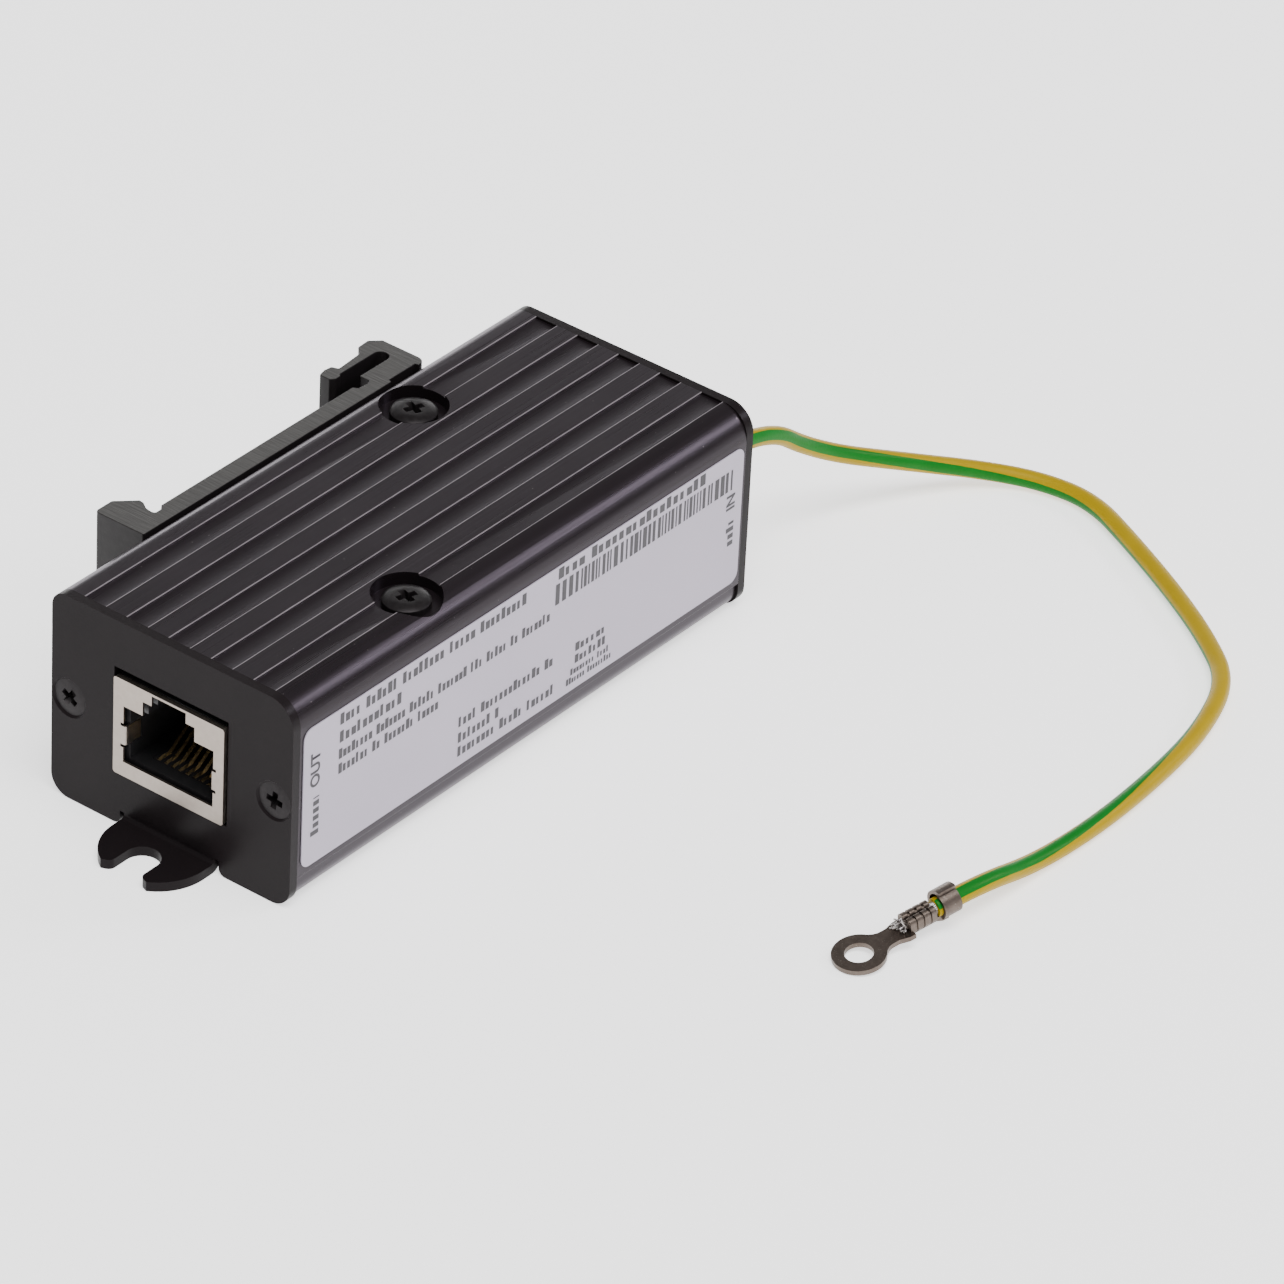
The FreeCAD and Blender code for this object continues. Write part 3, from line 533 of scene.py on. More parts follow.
def splayed_strands():
    """Bare strands through the barrel, fanned out over the neck in front of it."""
    draw = random.Random(4)
    strands = []
    for k in range(strand_count):
        angle = 2 * math.pi * (k + 0.5) / strand_count
        y = 0.62 * math.cos(angle)
        z = 0.5 * math.sin(angle)
        reach = draw.uniform(4.7, 5.6)
        fan = draw.uniform(1.1, 1.9)
        lift = max(z + draw.uniform(-0.2, 0.25), ring_sheet + strand_radius - lead_axis)
        tip = (reach, y * fan, lead_axis + lift)
        if k in (3, 5, 8):
            tip = (reach + 0.2, y + draw.uniform(0.1, 0.6), lead_axis + 1.1)
        places = [
            (10.35, y, lead_axis + 1.3 * z), (9.6, 0.8 * y, lead_axis + 0.8 * z),
            (6.4, 0.8 * y, lead_axis + 0.8 * z), (5.9, y, lead_axis + z), tip]
        strands.append(wire("strand", route_line(places), strand_radius, 6))
    return joined("bare_strands", strands)


tinned = Finish("tarnished_tin", Metallic=1.0, Roughness=0.4)
stain = tinned.noise(0.8, 5.0, 0.6)
scuffs = tinned.between(tinned.noise(5.0, 3.0), 0.62, 0.75)
dull = tinned.mix(stain, (0.085, 0.064, 0.052, 1), (0.17, 0.14, 0.12, 1))
tinned.feed("Base Color", tinned.mix(scuffs * 0.6, dull, (0.34, 0.30, 0.27, 1)))
tinned.feed("Roughness", 0.26 + tinned.noise(2.0, 4.0) * 0.25)
tinned.relief(tinned.noise(4.0, 5.0), 0.02)
strand_tin = Finish("bright_strands", Metallic=1.0, Roughness=0.28)
twist = strand_tin.noise(2.0, 2.0, 0.5, strand_tin.place(0.5, 4.0, 4.0))
strand_tin.feed("Base Color", strand_tin.mix(twist, (0.30, 0.28, 0.27, 1), (0.66, 0.63, 0.61, 1)))

at_ring = (Matrix.Translation(Vector(ring_place) * MM)
           @ Matrix.Rotation(ring_yaw, 4, "Z") @ Matrix.Rotation(ring_pitch, 4, "Y"))
crimped_ring = crimped_terminal()
bare_strands = splayed_strands()
crimped_ring.data.transform(at_ring)
bare_strands.data.transform(at_ring)
fitted(crimped_ring, tinned, "tinned_copper", "ring_terminal")
fitted(bare_strands, strand_tin, "copper", "lead_strands")

# The housing: a length of black anodised aluminium extrusion, with five shallow grooves
# along the top, a step low on each side, and a boss each side inside for the end screws.
# It is sawn to length, drilled and counterbored for the two board screws.


def extent(node):
    """Lowest and highest corner of a CAD node, in millimetres."""
    low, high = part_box(node)
    return Vector(low) / MM, Vector(high) / MM


def both_sides(half, unlike=None):
    """Outline from its half at positive first values, and the other's if that differs."""
    other = [(-corner[0],) + tuple(corner[1:]) for corner in unlike or half]
    return half + other[::-1]


def slab(low, high):
    """Box between two corners."""
    outline = [(low[0], low[1]), (high[0], low[1]), (high[0], high[1]), (low[0], high[1])]
    return prism("slab", outline, "z", low[2], high[2])


tube_high = extent("housing_tube")[1]
half_width = tube_high.y
body_height = tube_high.z
tube_end = tube_high.x
label_edge = 3.9
clip_edge = 2.0
bottom_radius = 2.5
step_height = 3.4
step_depth = 0.3
groove_pitch = 5.94
groove_half = groove_pitch / 4
groove_depth = 0.3
side_wall = 2.0
top_wall = 2.5
floor_wall = 1.6
screw_height = body_height / 2
end_screw_y = 14.5
boss_radius = 2.35
end_screw_bore = 1.3
board_screw_bore = 1.7
board_screw_x = 14.8
board_screw_y = 11.75
recess_radius = 4.0
recess_depth = 1.6

stepped_side = [
    (half_width - step_depth, 0, bottom_radius),
    (half_width - step_depth, step_height - 0.1, 0.08),
    (half_width, step_height + 0.1, 0.1),
]
profile = both_sides(
    stepped_side + [(half_width, body_height, clip_edge)],
    stepped_side + [(half_width, body_height, label_edge)])
housing = prism("housing_extrusion", rounded(profile, 10), "x", -tube_end, tube_end)
inside = half_width - side_wall
hollow = prism("hollow", rounded(both_sides([
    (inside, floor_wall, 0.5), (inside, body_height - top_wall, 0.5)])), "x",
    -tube_end - 1, tube_end + 1)
bosses = []
for side in (-1, 1):
    start = (-tube_end - 2, side * end_screw_y, screw_height)
    bosses.append(bore(boss_radius, start, (1, 0, 0), 2 * tube_end + 4))
hollow = combined(hollow, bosses, "DIFFERENCE")
cuts = [hollow]
groove_floor = body_height - groove_depth
for groove in (-2, -1, 0, 1, 2):
    middle = groove * groove_pitch
    channel = rounded([
        (middle - groove_half, groove_floor, 0.08), (middle + groove_half, groove_floor, 0.08),
        (middle + groove_half, body_height + 1), (middle - groove_half, body_height + 1)], 3)
    cuts.append(prism("channel", channel, "x", -tube_end - 1, tube_end + 1))
for side in (-1, 1):
    start = (-tube_end - 3, side * end_screw_y, screw_height)
    cuts.append(bore(end_screw_bore, start, (1, 0, 0), 2 * tube_end + 6, 24))
    top = (side * board_screw_x, side * board_screw_y, body_height + 1)
    cuts.append(bore(recess_radius, top, (0, 0, -1), recess_depth + 1, 72))
    cuts.append(bore(board_screw_bore, top, (0, 0, -1), 6, 32))
combined(housing, cuts, "DIFFERENCE")
eased(housing, 0.1)

anodised = Finish("black_anodising", Metallic=0.3, Roughness=0.3, Specular_IOR_Level=0.35,
                  Specular_Tint=(0.92, 0.84, 0.95, 1))
draw_lines = anodised.noise(1.0, 4.0, 0.6, anodised.place(0.02, 5.0, 5.0))
cloud = anodised.noise(0.08, 3.0)
speck = anodised.between(anodised.noise(2.2, 1.0, 0.3), 0.79, 0.83)
dyed = anodised.mix(cloud, (0.0085, 0.0062, 0.0072, 1), (0.0135, 0.0100, 0.0115, 1))
flecked = anodised.mix(speck, dyed, (0.08, 0.07, 0.07, 1))
tube_y, tube_z = anodised.axes(anodised.place())[1:]
# Painted highlight: thin light lines along the top edges of the grooves, where the rounded edges
# catch the light, mixed into the base colour here.
fold = anodised.node("ShaderNodeMath", {"operation": "PINGPONG"}, {0: tube_y, 1: groove_half})
ragged = anodised.noise(0.3, 3.0, 0.6, anodised.place(0.6, 0.1, 0.1)) * 0.10
off_edge = ragged + groove_half - fold
painted_groove_highlight = anodised.between(off_edge, 0.17, 0.08)
on_top = anodised.between(tube_z, body_height - 0.14, body_height - 0.10)
inboard = anodised.between(abs(tube_y), 13.6, 13.5)
anodised.feed("Base Color", anodised.mix(
    painted_groove_highlight * on_top * inboard, flecked, (0.30, 0.27, 0.285, 1)))
anodised.feed("Roughness", 0.2 + draw_lines * 0.14 + cloud * 0.05)
anodised.relief(draw_lines, 0.012)
fitted(housing, anodised, "housing", "housing_tube")

# The end plates: 1.2 mm steel, laser cut and folded, in matte black powder coat. Each has
# a window for its jack, two dimpled screw holes, and a slotted foot folded out at the bottom.
sheet = 1.2
plate_face = -tube_end - sheet
plate_edges = (2.0, 3.3)
root_radius = 0.9
root_half = 7.05
root_top = 1.8
foot_half = 6.45
bend_inner = 0.5
bend_outer = bend_inner + sheet
foot_centre = plate_face - 1.9
foot_end = extent("end_plate_out")[0].x
fold_top = 1.9
slot_half = 2.1
slot_centre = plate_face - 4.4
jack_half = 7.8
jack_low = screw_height - 6.25
jack_high = screw_height + 6.25
window_side_gap = 0.25
window_top_gap = 0.9
window_bottom_gap = 0.15
dimple = 2.45
mouth_flare = 2.2
lead_hole_radius = 2.05
lead_hole_y = 11.6
lead_hole_height = 18.0


def end_plate(name, side):
    """One end plate with its foot, at -X or +X."""
    edges = plate_edges[::-side]
    halves = [[(half_width, 0, bottom_radius), (half_width, body_height, r)] for r in edges]
    outline = rounded(both_sides(*halves), 10)
    plate = prism(name, outline, "x", plate_face, -tube_end)
    window_half = jack_half + window_side_gap
    window = slab((plate_face - 1, -window_half, jack_low - window_bottom_gap),
                  (-tube_end + 1, window_half, jack_high + window_top_gap))
    root = prism("root", rounded(both_sides([
        (root_half + 1.2, -1), (root_half + 1.2, 0), (root_half, 0, root_radius),
        (root_half, root_top)])), "x", plate_face - 1, -tube_end + 1)
    holes = [window, root]
    for across in (-1, 1):
        start = (plate_face, across * end_screw_y, screw_height)
        cone = [(-0.5, 0), (-0.5, dimple + 0.5), (1.0, dimple - 1.0), (1.5, dimple - 1.0),
                (1.5, 0)]
        holes.append(turned("cone", cone, start, (1, 0, 0)))
    combined(plate, holes, "DIFFERENCE")
    far = foot_end - 2
    fold = rounded([
        (-tube_end, fold_top), (-tube_end, 0, bend_outer), (far, 0), (far, sheet),
        (plate_face, sheet, bend_inner), (plate_face, fold_top)], 8)
    foot = prism("foot", fold, "y", -foot_half, foot_half)
    plan = [(-tube_end + 1, -foot_half), (-tube_end + 1, foot_half)]
    steps = 28
    for k in range(steps + 1):
        angle = math.pi / 2 + math.pi * k / steps
        x = foot_centre + foot_half * math.cos(angle)
        plan.append((x, foot_half * math.sin(angle)))
    shape = prism("plan", plan, "z", -1, 4)
    combined(foot, [shape], "INTERSECT")
    tip_x = foot_centre - math.sqrt(foot_half ** 2 - slot_half ** 2)
    flare = slot_half + mouth_flare
    mouth = rounded([
        (tip_x - 3, -flare), (tip_x + 0.15, -flare, 0.3), (tip_x + 0.95, -slot_half, 0.9),
        (slot_centre, -slot_half), (slot_centre, slot_half), (tip_x + 0.95, slot_half, 0.9),
        (tip_x + 0.15, flare, 0.3), (tip_x - 3, flare)])
    slot_tools = [
        prism("mouth", mouth, "z", -1, 4),
        bore(slot_half, (slot_centre, 0, -1), (0, 0, 1), 5, 40)]
    combined(foot, slot_tools, "DIFFERENCE")
    combined(plate, [foot], "UNION")
    if side > 0:
        outside = (plate_face - 1, lead_hole_y, lead_hole_height)
        lead_hole = bore(lead_hole_radius, outside, (1, 0, 0), 4)
        combined(plate, [lead_hole], "DIFFERENCE")
        plate.data.transform(Matrix.Rotation(math.pi, 4, "Z"))
    return eased(plate, 0.14)


powder = Finish("black_powder_coat", Roughness=0.34, Specular_IOR_Level=0.07)
grain = powder.noise(5.0, 3.0, 0.6)
handled = powder.noise(0.12, 4.0)
powder.feed("Base Color", powder.mix(
    handled, (0.0080, 0.0060, 0.0067, 1), (0.0125, 0.0098, 0.0106, 1)))
powder.feed("Roughness", 0.24 + grain * 0.14)
powder.relief(grain, 0.012)
for side, word in ((-1, "out"), (1, "in")):
    fitted(end_plate("folded_plate_" + word, side), powder, "end_plates", "end_plate_" + word)

# The screws: four small countersunk Phillips screws in the plates' dimples and two cheese
# heads in the counterbores on top, all black zinc plated steel.
end_head = 4.6
end_head_sunk = 0.12
board_head = 5.5
board_head_sunk = 0.4


def phillips(name, head, length, radius, rim, place, inward, recess, tilt):
    """Domed screw with a tapered cross recess. A rim over 0.5 makes it a cheese head."""
    dome = 0.14
    reach = Vector(inward).normalized()
    top = Vector(place)
    profile = [
        (0, 0), (0.02, head * 0.25), (dome * 0.6, head * 0.42), (dome + rim * 0.2, head / 2)]
    if rim > 0.5:
        profile += [(rim, head / 2), (rim, radius)]
    else:
        profile += [(dome + rim + head / 2 - radius, radius)]
    profile += [(length, radius), (length, 0)]
    screw = turned(name, profile, top, reach, 40)
    facing = reach.to_track_quat("Z", "Y").to_matrix()
    facing = facing @ Matrix.Rotation(math.radians(tilt), 3, "Z")
    arms = []
    arm = recess * 0.15
    across = recess / 2
    deep = recess * 0.42
    for quarter in (0, 1):
        corners = [(-across, -arm, -0.3), (across, -arm, -0.3), (across, arm, -0.3),
                   (-across, arm, -0.3), (-across * 0.5, -arm, deep), (across * 0.5, -arm, deep),
                   (across * 0.5, arm, deep), (-across * 0.5, arm, deep)]
        faces = [
            (0, 3, 2, 1), (4, 5, 6, 7), (0, 1, 5, 4), (1, 2, 6, 5), (2, 3, 7, 6), (3, 0, 4, 7)]
        turn = facing @ Matrix.Rotation(math.pi / 2 * quarter, 3, "Z")
        mesh = bpy.data.meshes.new("arm")
        mesh.from_pydata([(top + turn @ Vector(corner)) * MM for corner in corners], [], faces)
        arms.append(shown("arm", mesh))
    return eased(combined(screw, arms, "DIFFERENCE"), 0.05)


zinc = Finish("black_zinc", Metallic=0.5, Roughness=0.36, Specular_IOR_Level=0.15)
worn = zinc.noise(1.5, 4.0)
zinc.feed("Base Color", zinc.mix(worn, (0.008, 0.0065, 0.007, 1), (0.026, 0.023, 0.024, 1)))
zinc.feed("Roughness", 0.28 + worn * 0.2)
zinc.relief(zinc.noise(6.0), 0.01)
for end, end_word in ((-1, "out"), (1, "in")):
    for side, side_word in ((-1, "label"), (1, "clip")):
        name = "end_screw_" + end_word + "_" + side_word
        place = (end * (-plate_face - end_head_sunk), side * end_screw_y, screw_height)
        tilt = 8 if end * side > 0 else 33
        screw = phillips(name, end_head, 7.0, 1.25, 0.0, place, (-end, 0, 0), 2.5, tilt)
        fitted(screw, zinc, "black_screws", "end_plate_screws")
for side, word in ((-1, "label"), (1, "clip")):
    place = (side * board_screw_x, side * board_screw_y, body_height - board_head_sunk)
    screw = phillips("board_screw_" + word, board_head, 6.0, 1.5, 1.2, place, (0, 0, -1), 2.7, 20)
    fitted(screw, zinc, "black_screws", "board_screws")

# The jacks' shields: nickel plated brass strip, 0.3 mm, stamped and folded round the jack,
# with the stepped plug opening, and a spring tab folded in at each side of it.
jack_proud = 0.4
jack_face = plate_face - jack_proud
jack_depth = 18.3
foil = 0.3
port_floor = 1.9
port_half = 6.35
port_top = 9.1
latch_half = 3.65
latch_top = 10.9
latch_neck = 2.4
tab_low = 4.1
tab_high = 6.5
tab_reach = 2.5
nick = 0.35
shield_round = 0.35
open_from = 0.7


def jack_shield(name, side):
    """Folded shield of the -X jack, or of the +X one."""
    back = jack_face + jack_depth
    shell = prism(name, rounded([
        (-jack_half, jack_low, shield_round), (jack_half, jack_low, shield_round),
        (jack_half, jack_high, shield_round), (-jack_half, jack_high, shield_round)], 4),
        "x", jack_face, back)
    room = slab((jack_face + foil, -jack_half + foil, jack_low + foil),
                (back - foil, jack_half - foil, jack_high - foil))
    open_top = slab((jack_face + open_from, -jack_half + foil, jack_high - foil - 0.1),
                    (back - foil, jack_half - foil, jack_high + 1))
    port = prism("port", both_sides([
        (port_half, jack_low + port_floor), (port_half, jack_low + port_top),
        (latch_half, jack_low + port_top), (latch_half, jack_low + latch_top),
        (latch_neck, jack_low + latch_top), (latch_neck, jack_high - foil)]), "x",
        jack_face - 1, jack_face + foil + 0.1)
    cuts = [room, open_top, port]
    for across in (-1, 1):
        for z in (tab_low - nick, tab_high):
            y0, y1 = sorted((across * (port_half - 0.1), across * (port_half + 0.4)))
            low = (jack_face - 1, y0, jack_low + z)
            cuts.append(slab(low, (jack_face + foil + 0.1, y1, jack_low + z + nick)))
    combined(shell, cuts, "DIFFERENCE")
    tabs = []
    for across in (-1, 1):
        root, inner, outer = [across * (port_half + move) for move in (0.2, -0.35, -0.05)]
        fold = [
            (jack_face, root), (jack_face, inner, 0.3), (jack_face + tab_reach, inner),
            (jack_face + tab_reach, outer), (jack_face + foil, outer, 0.05),
            (jack_face + foil, root)]
        tabs.append(prism("tab", rounded(fold, 4), "z", jack_low + tab_low, jack_low + tab_high))
    combined(shell, tabs, "UNION")
    if side > 0:
        shell.data.transform(Matrix.Rotation(math.pi, 4, "Z"))
    return eased(shell, 0.06)


nickel = Finish("nickel_plate", Metallic=1.0, Roughness=0.3)
mottle = nickel.noise(1.2, 6.0, 0.65)
film = nickel.noise(0.25, 3.0)
plated = nickel.mix(mottle, (0.27, 0.235, 0.205, 1), (0.42, 0.375, 0.335, 1))
nickel.feed("Base Color", nickel.mix(film * 0.5, plated, (0.30, 0.25, 0.215, 1)))
nickel.feed("Roughness", 0.26 + mottle * 0.2)
nickel.relief(mottle, 0.01)
for side, word in ((-1, "out"), (1, "in")):
    fitted(jack_shield("folded_shield_" + word, side), nickel, "shield", "jack_shield_" + word)

# Inside the jacks: a black nylon body and comb, and eight gold plated wires that slope up
# from the front. They keep their CAD shapes.
nylon = Finish("black_nylon", Roughness=0.42)
flow = nylon.noise(0.7, 4.0)
nylon.feed("Base Color", nylon.mix(flow, (0.008, 0.008, 0.009, 1), (0.016, 0.015, 0.016, 1)))
nylon.feed("Roughness", 0.34 + nylon.noise(4.0) * 0.16)
nylon.relief(nylon.noise(6.0, 3.0), 0.008)
gilt = Finish("gold_flash", Metallic=1.0, Roughness=0.22)
wipe = gilt.noise(2.0, 3.0, 0.5, gilt.place(0.3, 4.0, 4.0))
gilt.feed("Base Color", gilt.mix(wipe, (0.62, 0.42, 0.17, 1), (0.85, 0.62, 0.28, 1)))
gilt.feed("Roughness", 0.16 + wipe * 0.14)


def recoated(node, finish):
    """Puts a finish on a CAD node that keeps its shape."""
    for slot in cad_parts[node].material_slots:
        slot.material = finish.material


for word in ("out", "in"):
    recoated("jack_insert_" + word, nylon)
    recoated("contact_comb_" + word, nylon)
    recoated("jack_contacts_" + word, gilt)

# The rail clip: an aluminium extrusion sawn to the housing's height, black anodised before
# sawing and painted after, so that its ends show fine slanted saw marks. Two countersunk
# screws hold it to the housing's side.
strip = 2.45
strip_outer = half_width + strip
seat_start = -20.3
rail_seat = 36.0
seat_end = seat_start + rail_seat
clip_screw_spread = 6.2
clip_head = 5.6
clip_head_sunk = 0.15
clip_low, clip_high = extent("din_clip")


def rail_clip():
    """The clip's outline, extruded up the side, with its screw holes."""
    s = seat_start
    e = seat_end
    w = half_width
    t = strip_outer
    left = clip_low.x
    right = clip_high.x
    hook_top = w + 7.0
    block_top = t + 0.93
    arm_inner = block_top + 1.92
    arm_outer = arm_inner + 0.95
    latch_top = w + 7.54
    nose = e - 2.8
    outline = [
        (left, w, 0.25), (left, hook_top, 0.5), (left + 2.75, hook_top, 0.4),
        (s + 0.38, hook_top - 2.18, 0.2), (s + 0.28, t + 1.7, 0.2), (s - 0.35, t + 0.8, 0.3),
        (s - 0.5, t - 0.2, 0.25), (s - 0.3, t - 0.5, 0.15), (s + 0.6, t - 0.5, 0.15),
        (s + 1.2, t, 0.15), (e - 2.3, t, 0.15), (e - 2.0, t - 0.6, 0.2),
        (e - 0.5, t - 0.7, 0.2), (e, t - 0.45, 0.1), (e, block_top, 0.25),
        (e + 5.76, block_top, 0.9), (e + 5.76, arm_inner, 0.9), (nose + 1.6, arm_inner, 0.2),
        (nose + 1.4, arm_inner - 0.32, 0.15), (nose + 0.6, arm_inner - 0.32, 0.2),
        (nose, arm_inner + 0.15, 0.15), (nose, arm_outer + 0.65, 0.25),
        (nose + 1.1, arm_outer + 0.9, 0.3), (nose + 2.2, arm_outer + 0.75, 0.3),
        (nose + 2.5, arm_outer - 0.1, 0.2), (e + 3.6, arm_outer + 0.2, 0.3),
        (e + 4.6, latch_top - 0.1, 0.2), (right - 1.2, latch_top, 0.3),
        (right, latch_top - 1.2, 0.3), (right, w, 1.1), (right - 1.3, w),
        (right - 1.4, w + 0.45, 0.1), (e + 1.6, w + 0.45, 0.1), (e + 1.5, w),
    ]
    clip = prism("rail_clip", rounded(outline, 5), "z", clip_low.z, clip_high.z)
    holes = []
    for z in clip_screw_heights:
        cone = [(-0.5, 0), (-0.5, 3.45), (1.3, 1.65), (3.0, 1.65), (3.0, 0)]
        holes.append(turned("cone", cone, (clip_screw_x, t, z), (0, -1, 0), 32))
    return eased(combined(clip, holes, "DIFFERENCE"), 0.1)


clip_screw_x = (seat_start + seat_end) / 2
clip_screw_heights = (screw_height - clip_screw_spread, screw_height + clip_screw_spread)
sawn = Finish("sawn_black", Metallic=0.15, Roughness=0.4, Specular_IOR_Level=0.25)
kerf = sawn.place(5.0, 5.0, 0.1)
saw_marks = sawn.noise(1.0, 2.0, 0.5, sawn.node(
    "ShaderNodeMapping", values={"Vector": kerf, "Rotation": (0, 0, 0.6), "Scale": (1, 0.06, 1)}))
faces_up = abs(sawn.axes(sawn.node("ShaderNodeNewGeometry", output="Normal"))[2])
on_ends = sawn.between(faces_up, 0.6, 0.9)
sawn.feed("Base Color", sawn.mix(
    (0.35 + saw_marks * 0.8) * on_ends, (0.0105, 0.0085, 0.0090, 1), (0.060, 0.058, 0.055, 1)))
sawn.feed("Roughness", 0.4 + sawn.noise(1.0) * 0.15)
sawn.relief(saw_marks * on_ends + sawn.noise(3.0) * 0.3, 0.03)
fitted(rail_clip(), sawn, "clip", "din_clip")
for z, word in zip(clip_screw_heights, ("low", "high")):
    place = (clip_screw_x, strip_outer - clip_head_sunk, z)
    screw = phillips("clip_screw_" + word, clip_head, 4.6, 1.5, 0.0, place, (0, -1, 0), 3.0, 12)
    fitted(screw, zinc, "black_screws", "din_clip_screws")

# The rating label: silver polyester film stuck on the flat of the side, with rounded
# corners. Its print is plain upright blocks, one for each letter of small type, a row of
# tall bars, and the names of the two ports.
label_low, label_high = extent("rating_label")
label_face = label_low.y
ink_height = 0.02
film_half = label_high.x
film_round = 1.3
label = prism("silver_label", rounded([
    (film_half, label_low.z, film_round), (film_half, label_high.z, film_round),
    (-film_half, label_high.z, film_round), (-film_half, label_low.z, film_round)], 8), "y",
    label_face, label_high.y)
eased(label, 0.03)
silver = Finish("silver_film", Metallic=0.1, Roughness=0.42, Specular_IOR_Level=0.3)
brushed = silver.noise(1.0, 3.0, 0.6, silver.place(0.25, 1.0, 6.0))
tone = silver.noise(0.05, 2.0)
silver.feed("Base Color", silver.mix(tone, (0.385, 0.35, 0.42, 1), (0.435, 0.395, 0.465, 1)))
silver.feed("Roughness", 0.38 + brushed * 0.12)
silver.relief(brushed, 0.006)
fitted(label, silver, "label", "rating_label")

text_rows = [
    (-32.1, -0.5, 20.3, 1.45, (4, 6, 8, 5, 9)),
    (-32.1, -21.6, 18.0, 1.45, (11,)),
    (-32.2, 3.8, 15.9, 1.3, (8, 7, 6, 7, 3, 5, 2, 7)),
    (-32.2, -15.3, 14.0, 1.3, (7, 2, 7, 5)),
    (-11.8, 4.7, 9.6, 1.3, (4, 13, 2)),
    (-11.8, -4.6, 7.5, 1.3, (7, 1)),
    (-11.8, 5.1, 5.7, 1.3, (8, 5, 6)),
    (4.9, 31.2, 20.6, 1.45, (4, 17)),
    (8.5, 14.0, 9.4, 1.1, (6,)),
    (8.5, 14.1, 7.8, 1.1, (7,)),
    (7.8, 14.7, 6.5, 0.85, (8, 4)),
    (7.1, 15.2, 5.4, 0.85, (7, 9)),
]
word_gap = 0.8
letter_share = 0.72
small_letter = 0.72
bar_start = 4.5
bar_end = 36.2
bar_low = 17.4
bar_high = 20.1
side_words = [(-36.0, 8.1, 13.0), (36.0, 9.9, 13.1)]
side_letter = 1.35
side_stroke = 0.6
side_step = 0.95


def printed(name, marks):
    """Thin ink marks on the label, from (x0, x1, z0, z1) rectangles."""
    mesh = bmesh.new()
    front = label_face - ink_height
    for x0, x1, z0, z1 in marks:
        corners = [(x0, z0), (x1, z0), (x1, z1), (x0, z1)]
        mesh.faces.new([mesh.verts.new(Vector((x, front, z)) * MM) for x, z in corners])
    data = bpy.data.meshes.new(name)
    mesh.to_mesh(data)
    mesh.free()
    return shown(name, data)


type_setter = random.Random(7)
marks = []
for start, end, z, capital, words in text_rows:
    step = (end - start) / (sum(words) + word_gap * (len(words) - 1))
    x = start
    for letters in words:
        for k in range(letters):
            tall = k == 0 or type_setter.random() < 0.22
            height = capital * (1 if tall else small_letter)
            wide = step * letter_share * type_setter.choice((0.7, 0.9, 1.0, 1.1))
            marks.append((x, x + wide, z, z + height))
            x += step
        x += word_gap * step
x = bar_start
while x < bar_end:
    thick = type_setter.choice((0.24, 0.3, 0.5, 0.72))
    marks.append((x, min(x + thick, bar_end), bar_low, bar_high))
    x += thick + type_setter.choice((0.22, 0.3, 0.45))
for x, low, high in side_words:
    z = low
    while z < high:
        tall = side_letter * type_setter.choice((0.72, 1.0))
        foot_line = x + side_letter / 2
        marks.append((foot_line - tall, foot_line, z, min(z + side_stroke, high)))
        z += side_step
ink = Finish("grey_ink", Roughness=0.55)
ink.feed("Base Color", ink.mix(ink.noise(3.0), (0.018, 0.016, 0.020, 1), (0.034, 0.030, 0.036, 1)))
fitted(printed("label_print", marks), ink, "label")


def port_name(word, x, z, height):
    """A port's name in plain capitals, read from the bottom up."""
    text = bpy.data.curves.new(word, "FONT")
    text.body = word
    text.size = height * MM
    text.offset = 0.06 * MM
    text.align_x = "CENTER"
    text.align_y = "CENTER"
    holder = shown("words", text)
    mesh = bpy.data.meshes.new_from_object(holder)
    bpy.data.objects.remove(holder)
    stand = Matrix.Translation(Vector((x, label_face - ink_height, z)) * MM)
    upright = Matrix.Rotation(math.pi / 2, 4, "X")
    up_the_side = Matrix.Rotation(math.pi / 2, 4, "Z")
    mesh.transform(stand @ upright @ up_the_side)
    return shown("port_name_" + word.lower(), mesh)


fitted(port_name("OUT", -36.0, 16.6, 2.1), ink, "label")
fitted(port_name("IN", 36.0, 15.8, 2.1), ink, "label")

# The inside, seen only when the ends are off: a green board under the roof with gas
# discharge tubes, clamping diodes, an earth post and brass standoffs.
glass_epoxy = Finish("green_board", Roughness=0.35, Coat_Weight=0.4)
weave = glass_epoxy.noise(1.6, 2.0)
glass_epoxy.feed("Base Color", glass_epoxy.mix(
    glass_epoxy.between(glass_epoxy.noise(0.35, 0.0), 0.48, 0.52),
    (0.006, 0.055, 0.022, 1), (0.010, 0.085, 0.034, 1)))
glass_epoxy.feed("Roughness", 0.28 + weave * 0.16)
glass_epoxy.relief(weave, 0.02)
recoated("circuit_board", glass_epoxy)

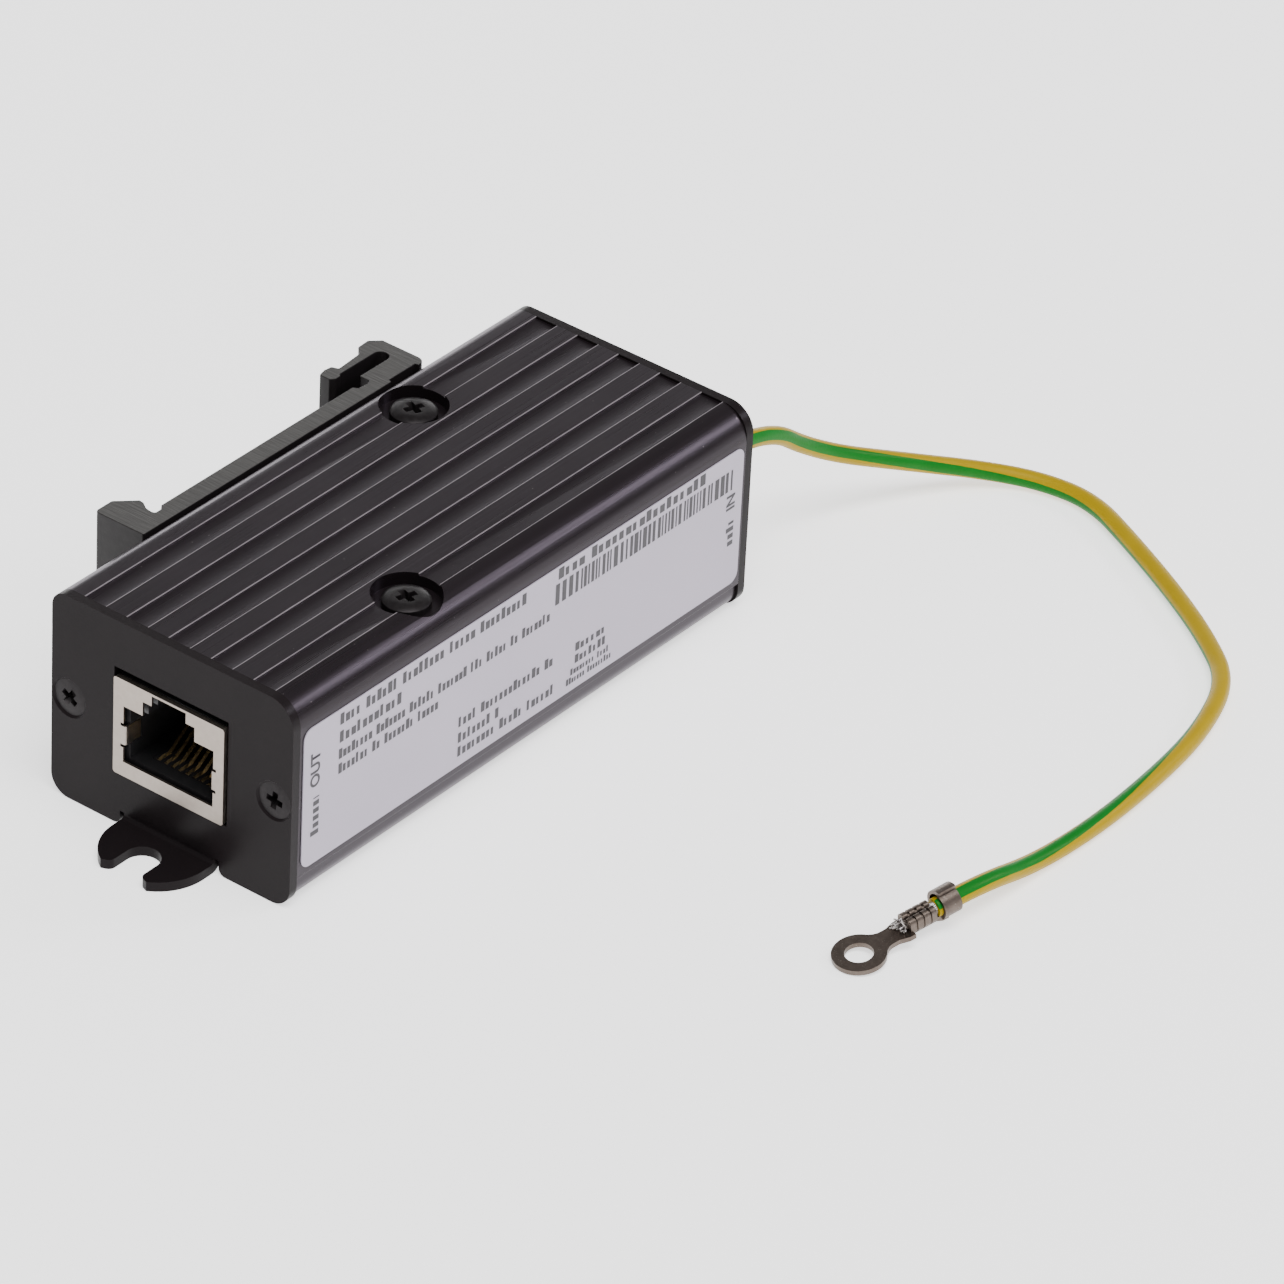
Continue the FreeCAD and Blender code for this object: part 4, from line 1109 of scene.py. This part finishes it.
cap_start = 3.0
ring_end = 0.7
blur = 0.02
tube_parts = Finish("tube_parts", Roughness=0.4)
row_low, row_high = extent("gas_discharge_tubes")
row_y = tube_parts.axes(tube_parts.place())[1]
from_middle = abs(row_y - (row_low.y + row_high.y) / 2)
on_caps = tube_parts.between(from_middle, cap_start - blur, cap_start)
on_ring = 1 - tube_parts.between(from_middle, ring_end, ring_end + blur)
metal = tube_parts.node("ShaderNodeMath", {"operation": "MAXIMUM"}, {0: on_caps, 1: on_ring})
glaze = tube_parts.noise(1.0)
white = tube_parts.mix(glaze, (0.70, 0.68, 0.64, 1), (0.78, 0.76, 0.72, 1))
tube_parts.feed("Base Color", tube_parts.mix(metal, white, (0.62, 0.60, 0.57, 1)))
tube_parts.feed("Metallic", metal)
tube_parts.feed("Roughness", 0.28 + glaze * 0.15)
recoated("gas_discharge_tubes", tube_parts)

half_pitch = 4.75
diode_half = 2.2
epoxy = Finish("black_epoxy", Roughness=0.5)
column_x = epoxy.axes(epoxy.place())[0]
step_x = epoxy.node("ShaderNodeMath", {"operation": "PINGPONG"}, {0: column_x, 1: half_pitch})
on_feet = epoxy.between(half_pitch - step_x, diode_half - blur / 2, diode_half + blur / 2)
epoxy.feed("Base Color", epoxy.mix(on_feet, (0.018, 0.018, 0.018, 1), (0.62, 0.60, 0.58, 1)))
epoxy.feed("Metallic", on_feet)
epoxy.relief(epoxy.noise(5.0), 0.01)
recoated("clamping_diodes", epoxy)

solder = Finish("solder_tin", Metallic=1.0, Roughness=0.35)
dross = solder.noise(1.5, 4.0)
solder.feed("Base Color", solder.mix(dross, (0.52, 0.50, 0.48, 1), (0.68, 0.66, 0.64, 1)))
solder.feed("Roughness", 0.28 + dross * 0.2)
recoated("earth_post", solder)
brass = Finish("turned_brass", Metallic=1.0, Roughness=0.3)
turning = brass.noise(1.0, 3.0, 0.5, brass.place(0.4, 0.4, 12.0))
brass.feed("Base Color", brass.mix(turning, (0.56, 0.38, 0.14, 1), (0.70, 0.50, 0.22, 1)))
brass.feed("Roughness", 0.25 + turning * 0.12)
recoated("board_standoffs", brass)
rubber = Finish("black_rubber", Roughness=0.7)
bloom = rubber.noise(0.8, 4.0)
rubber.feed("Base Color", rubber.mix(bloom, (0.012, 0.012, 0.012, 1), (0.026, 0.025, 0.024, 1)))
rubber.relief(bloom, 0.03)
recoated("lead_grommet", rubber)
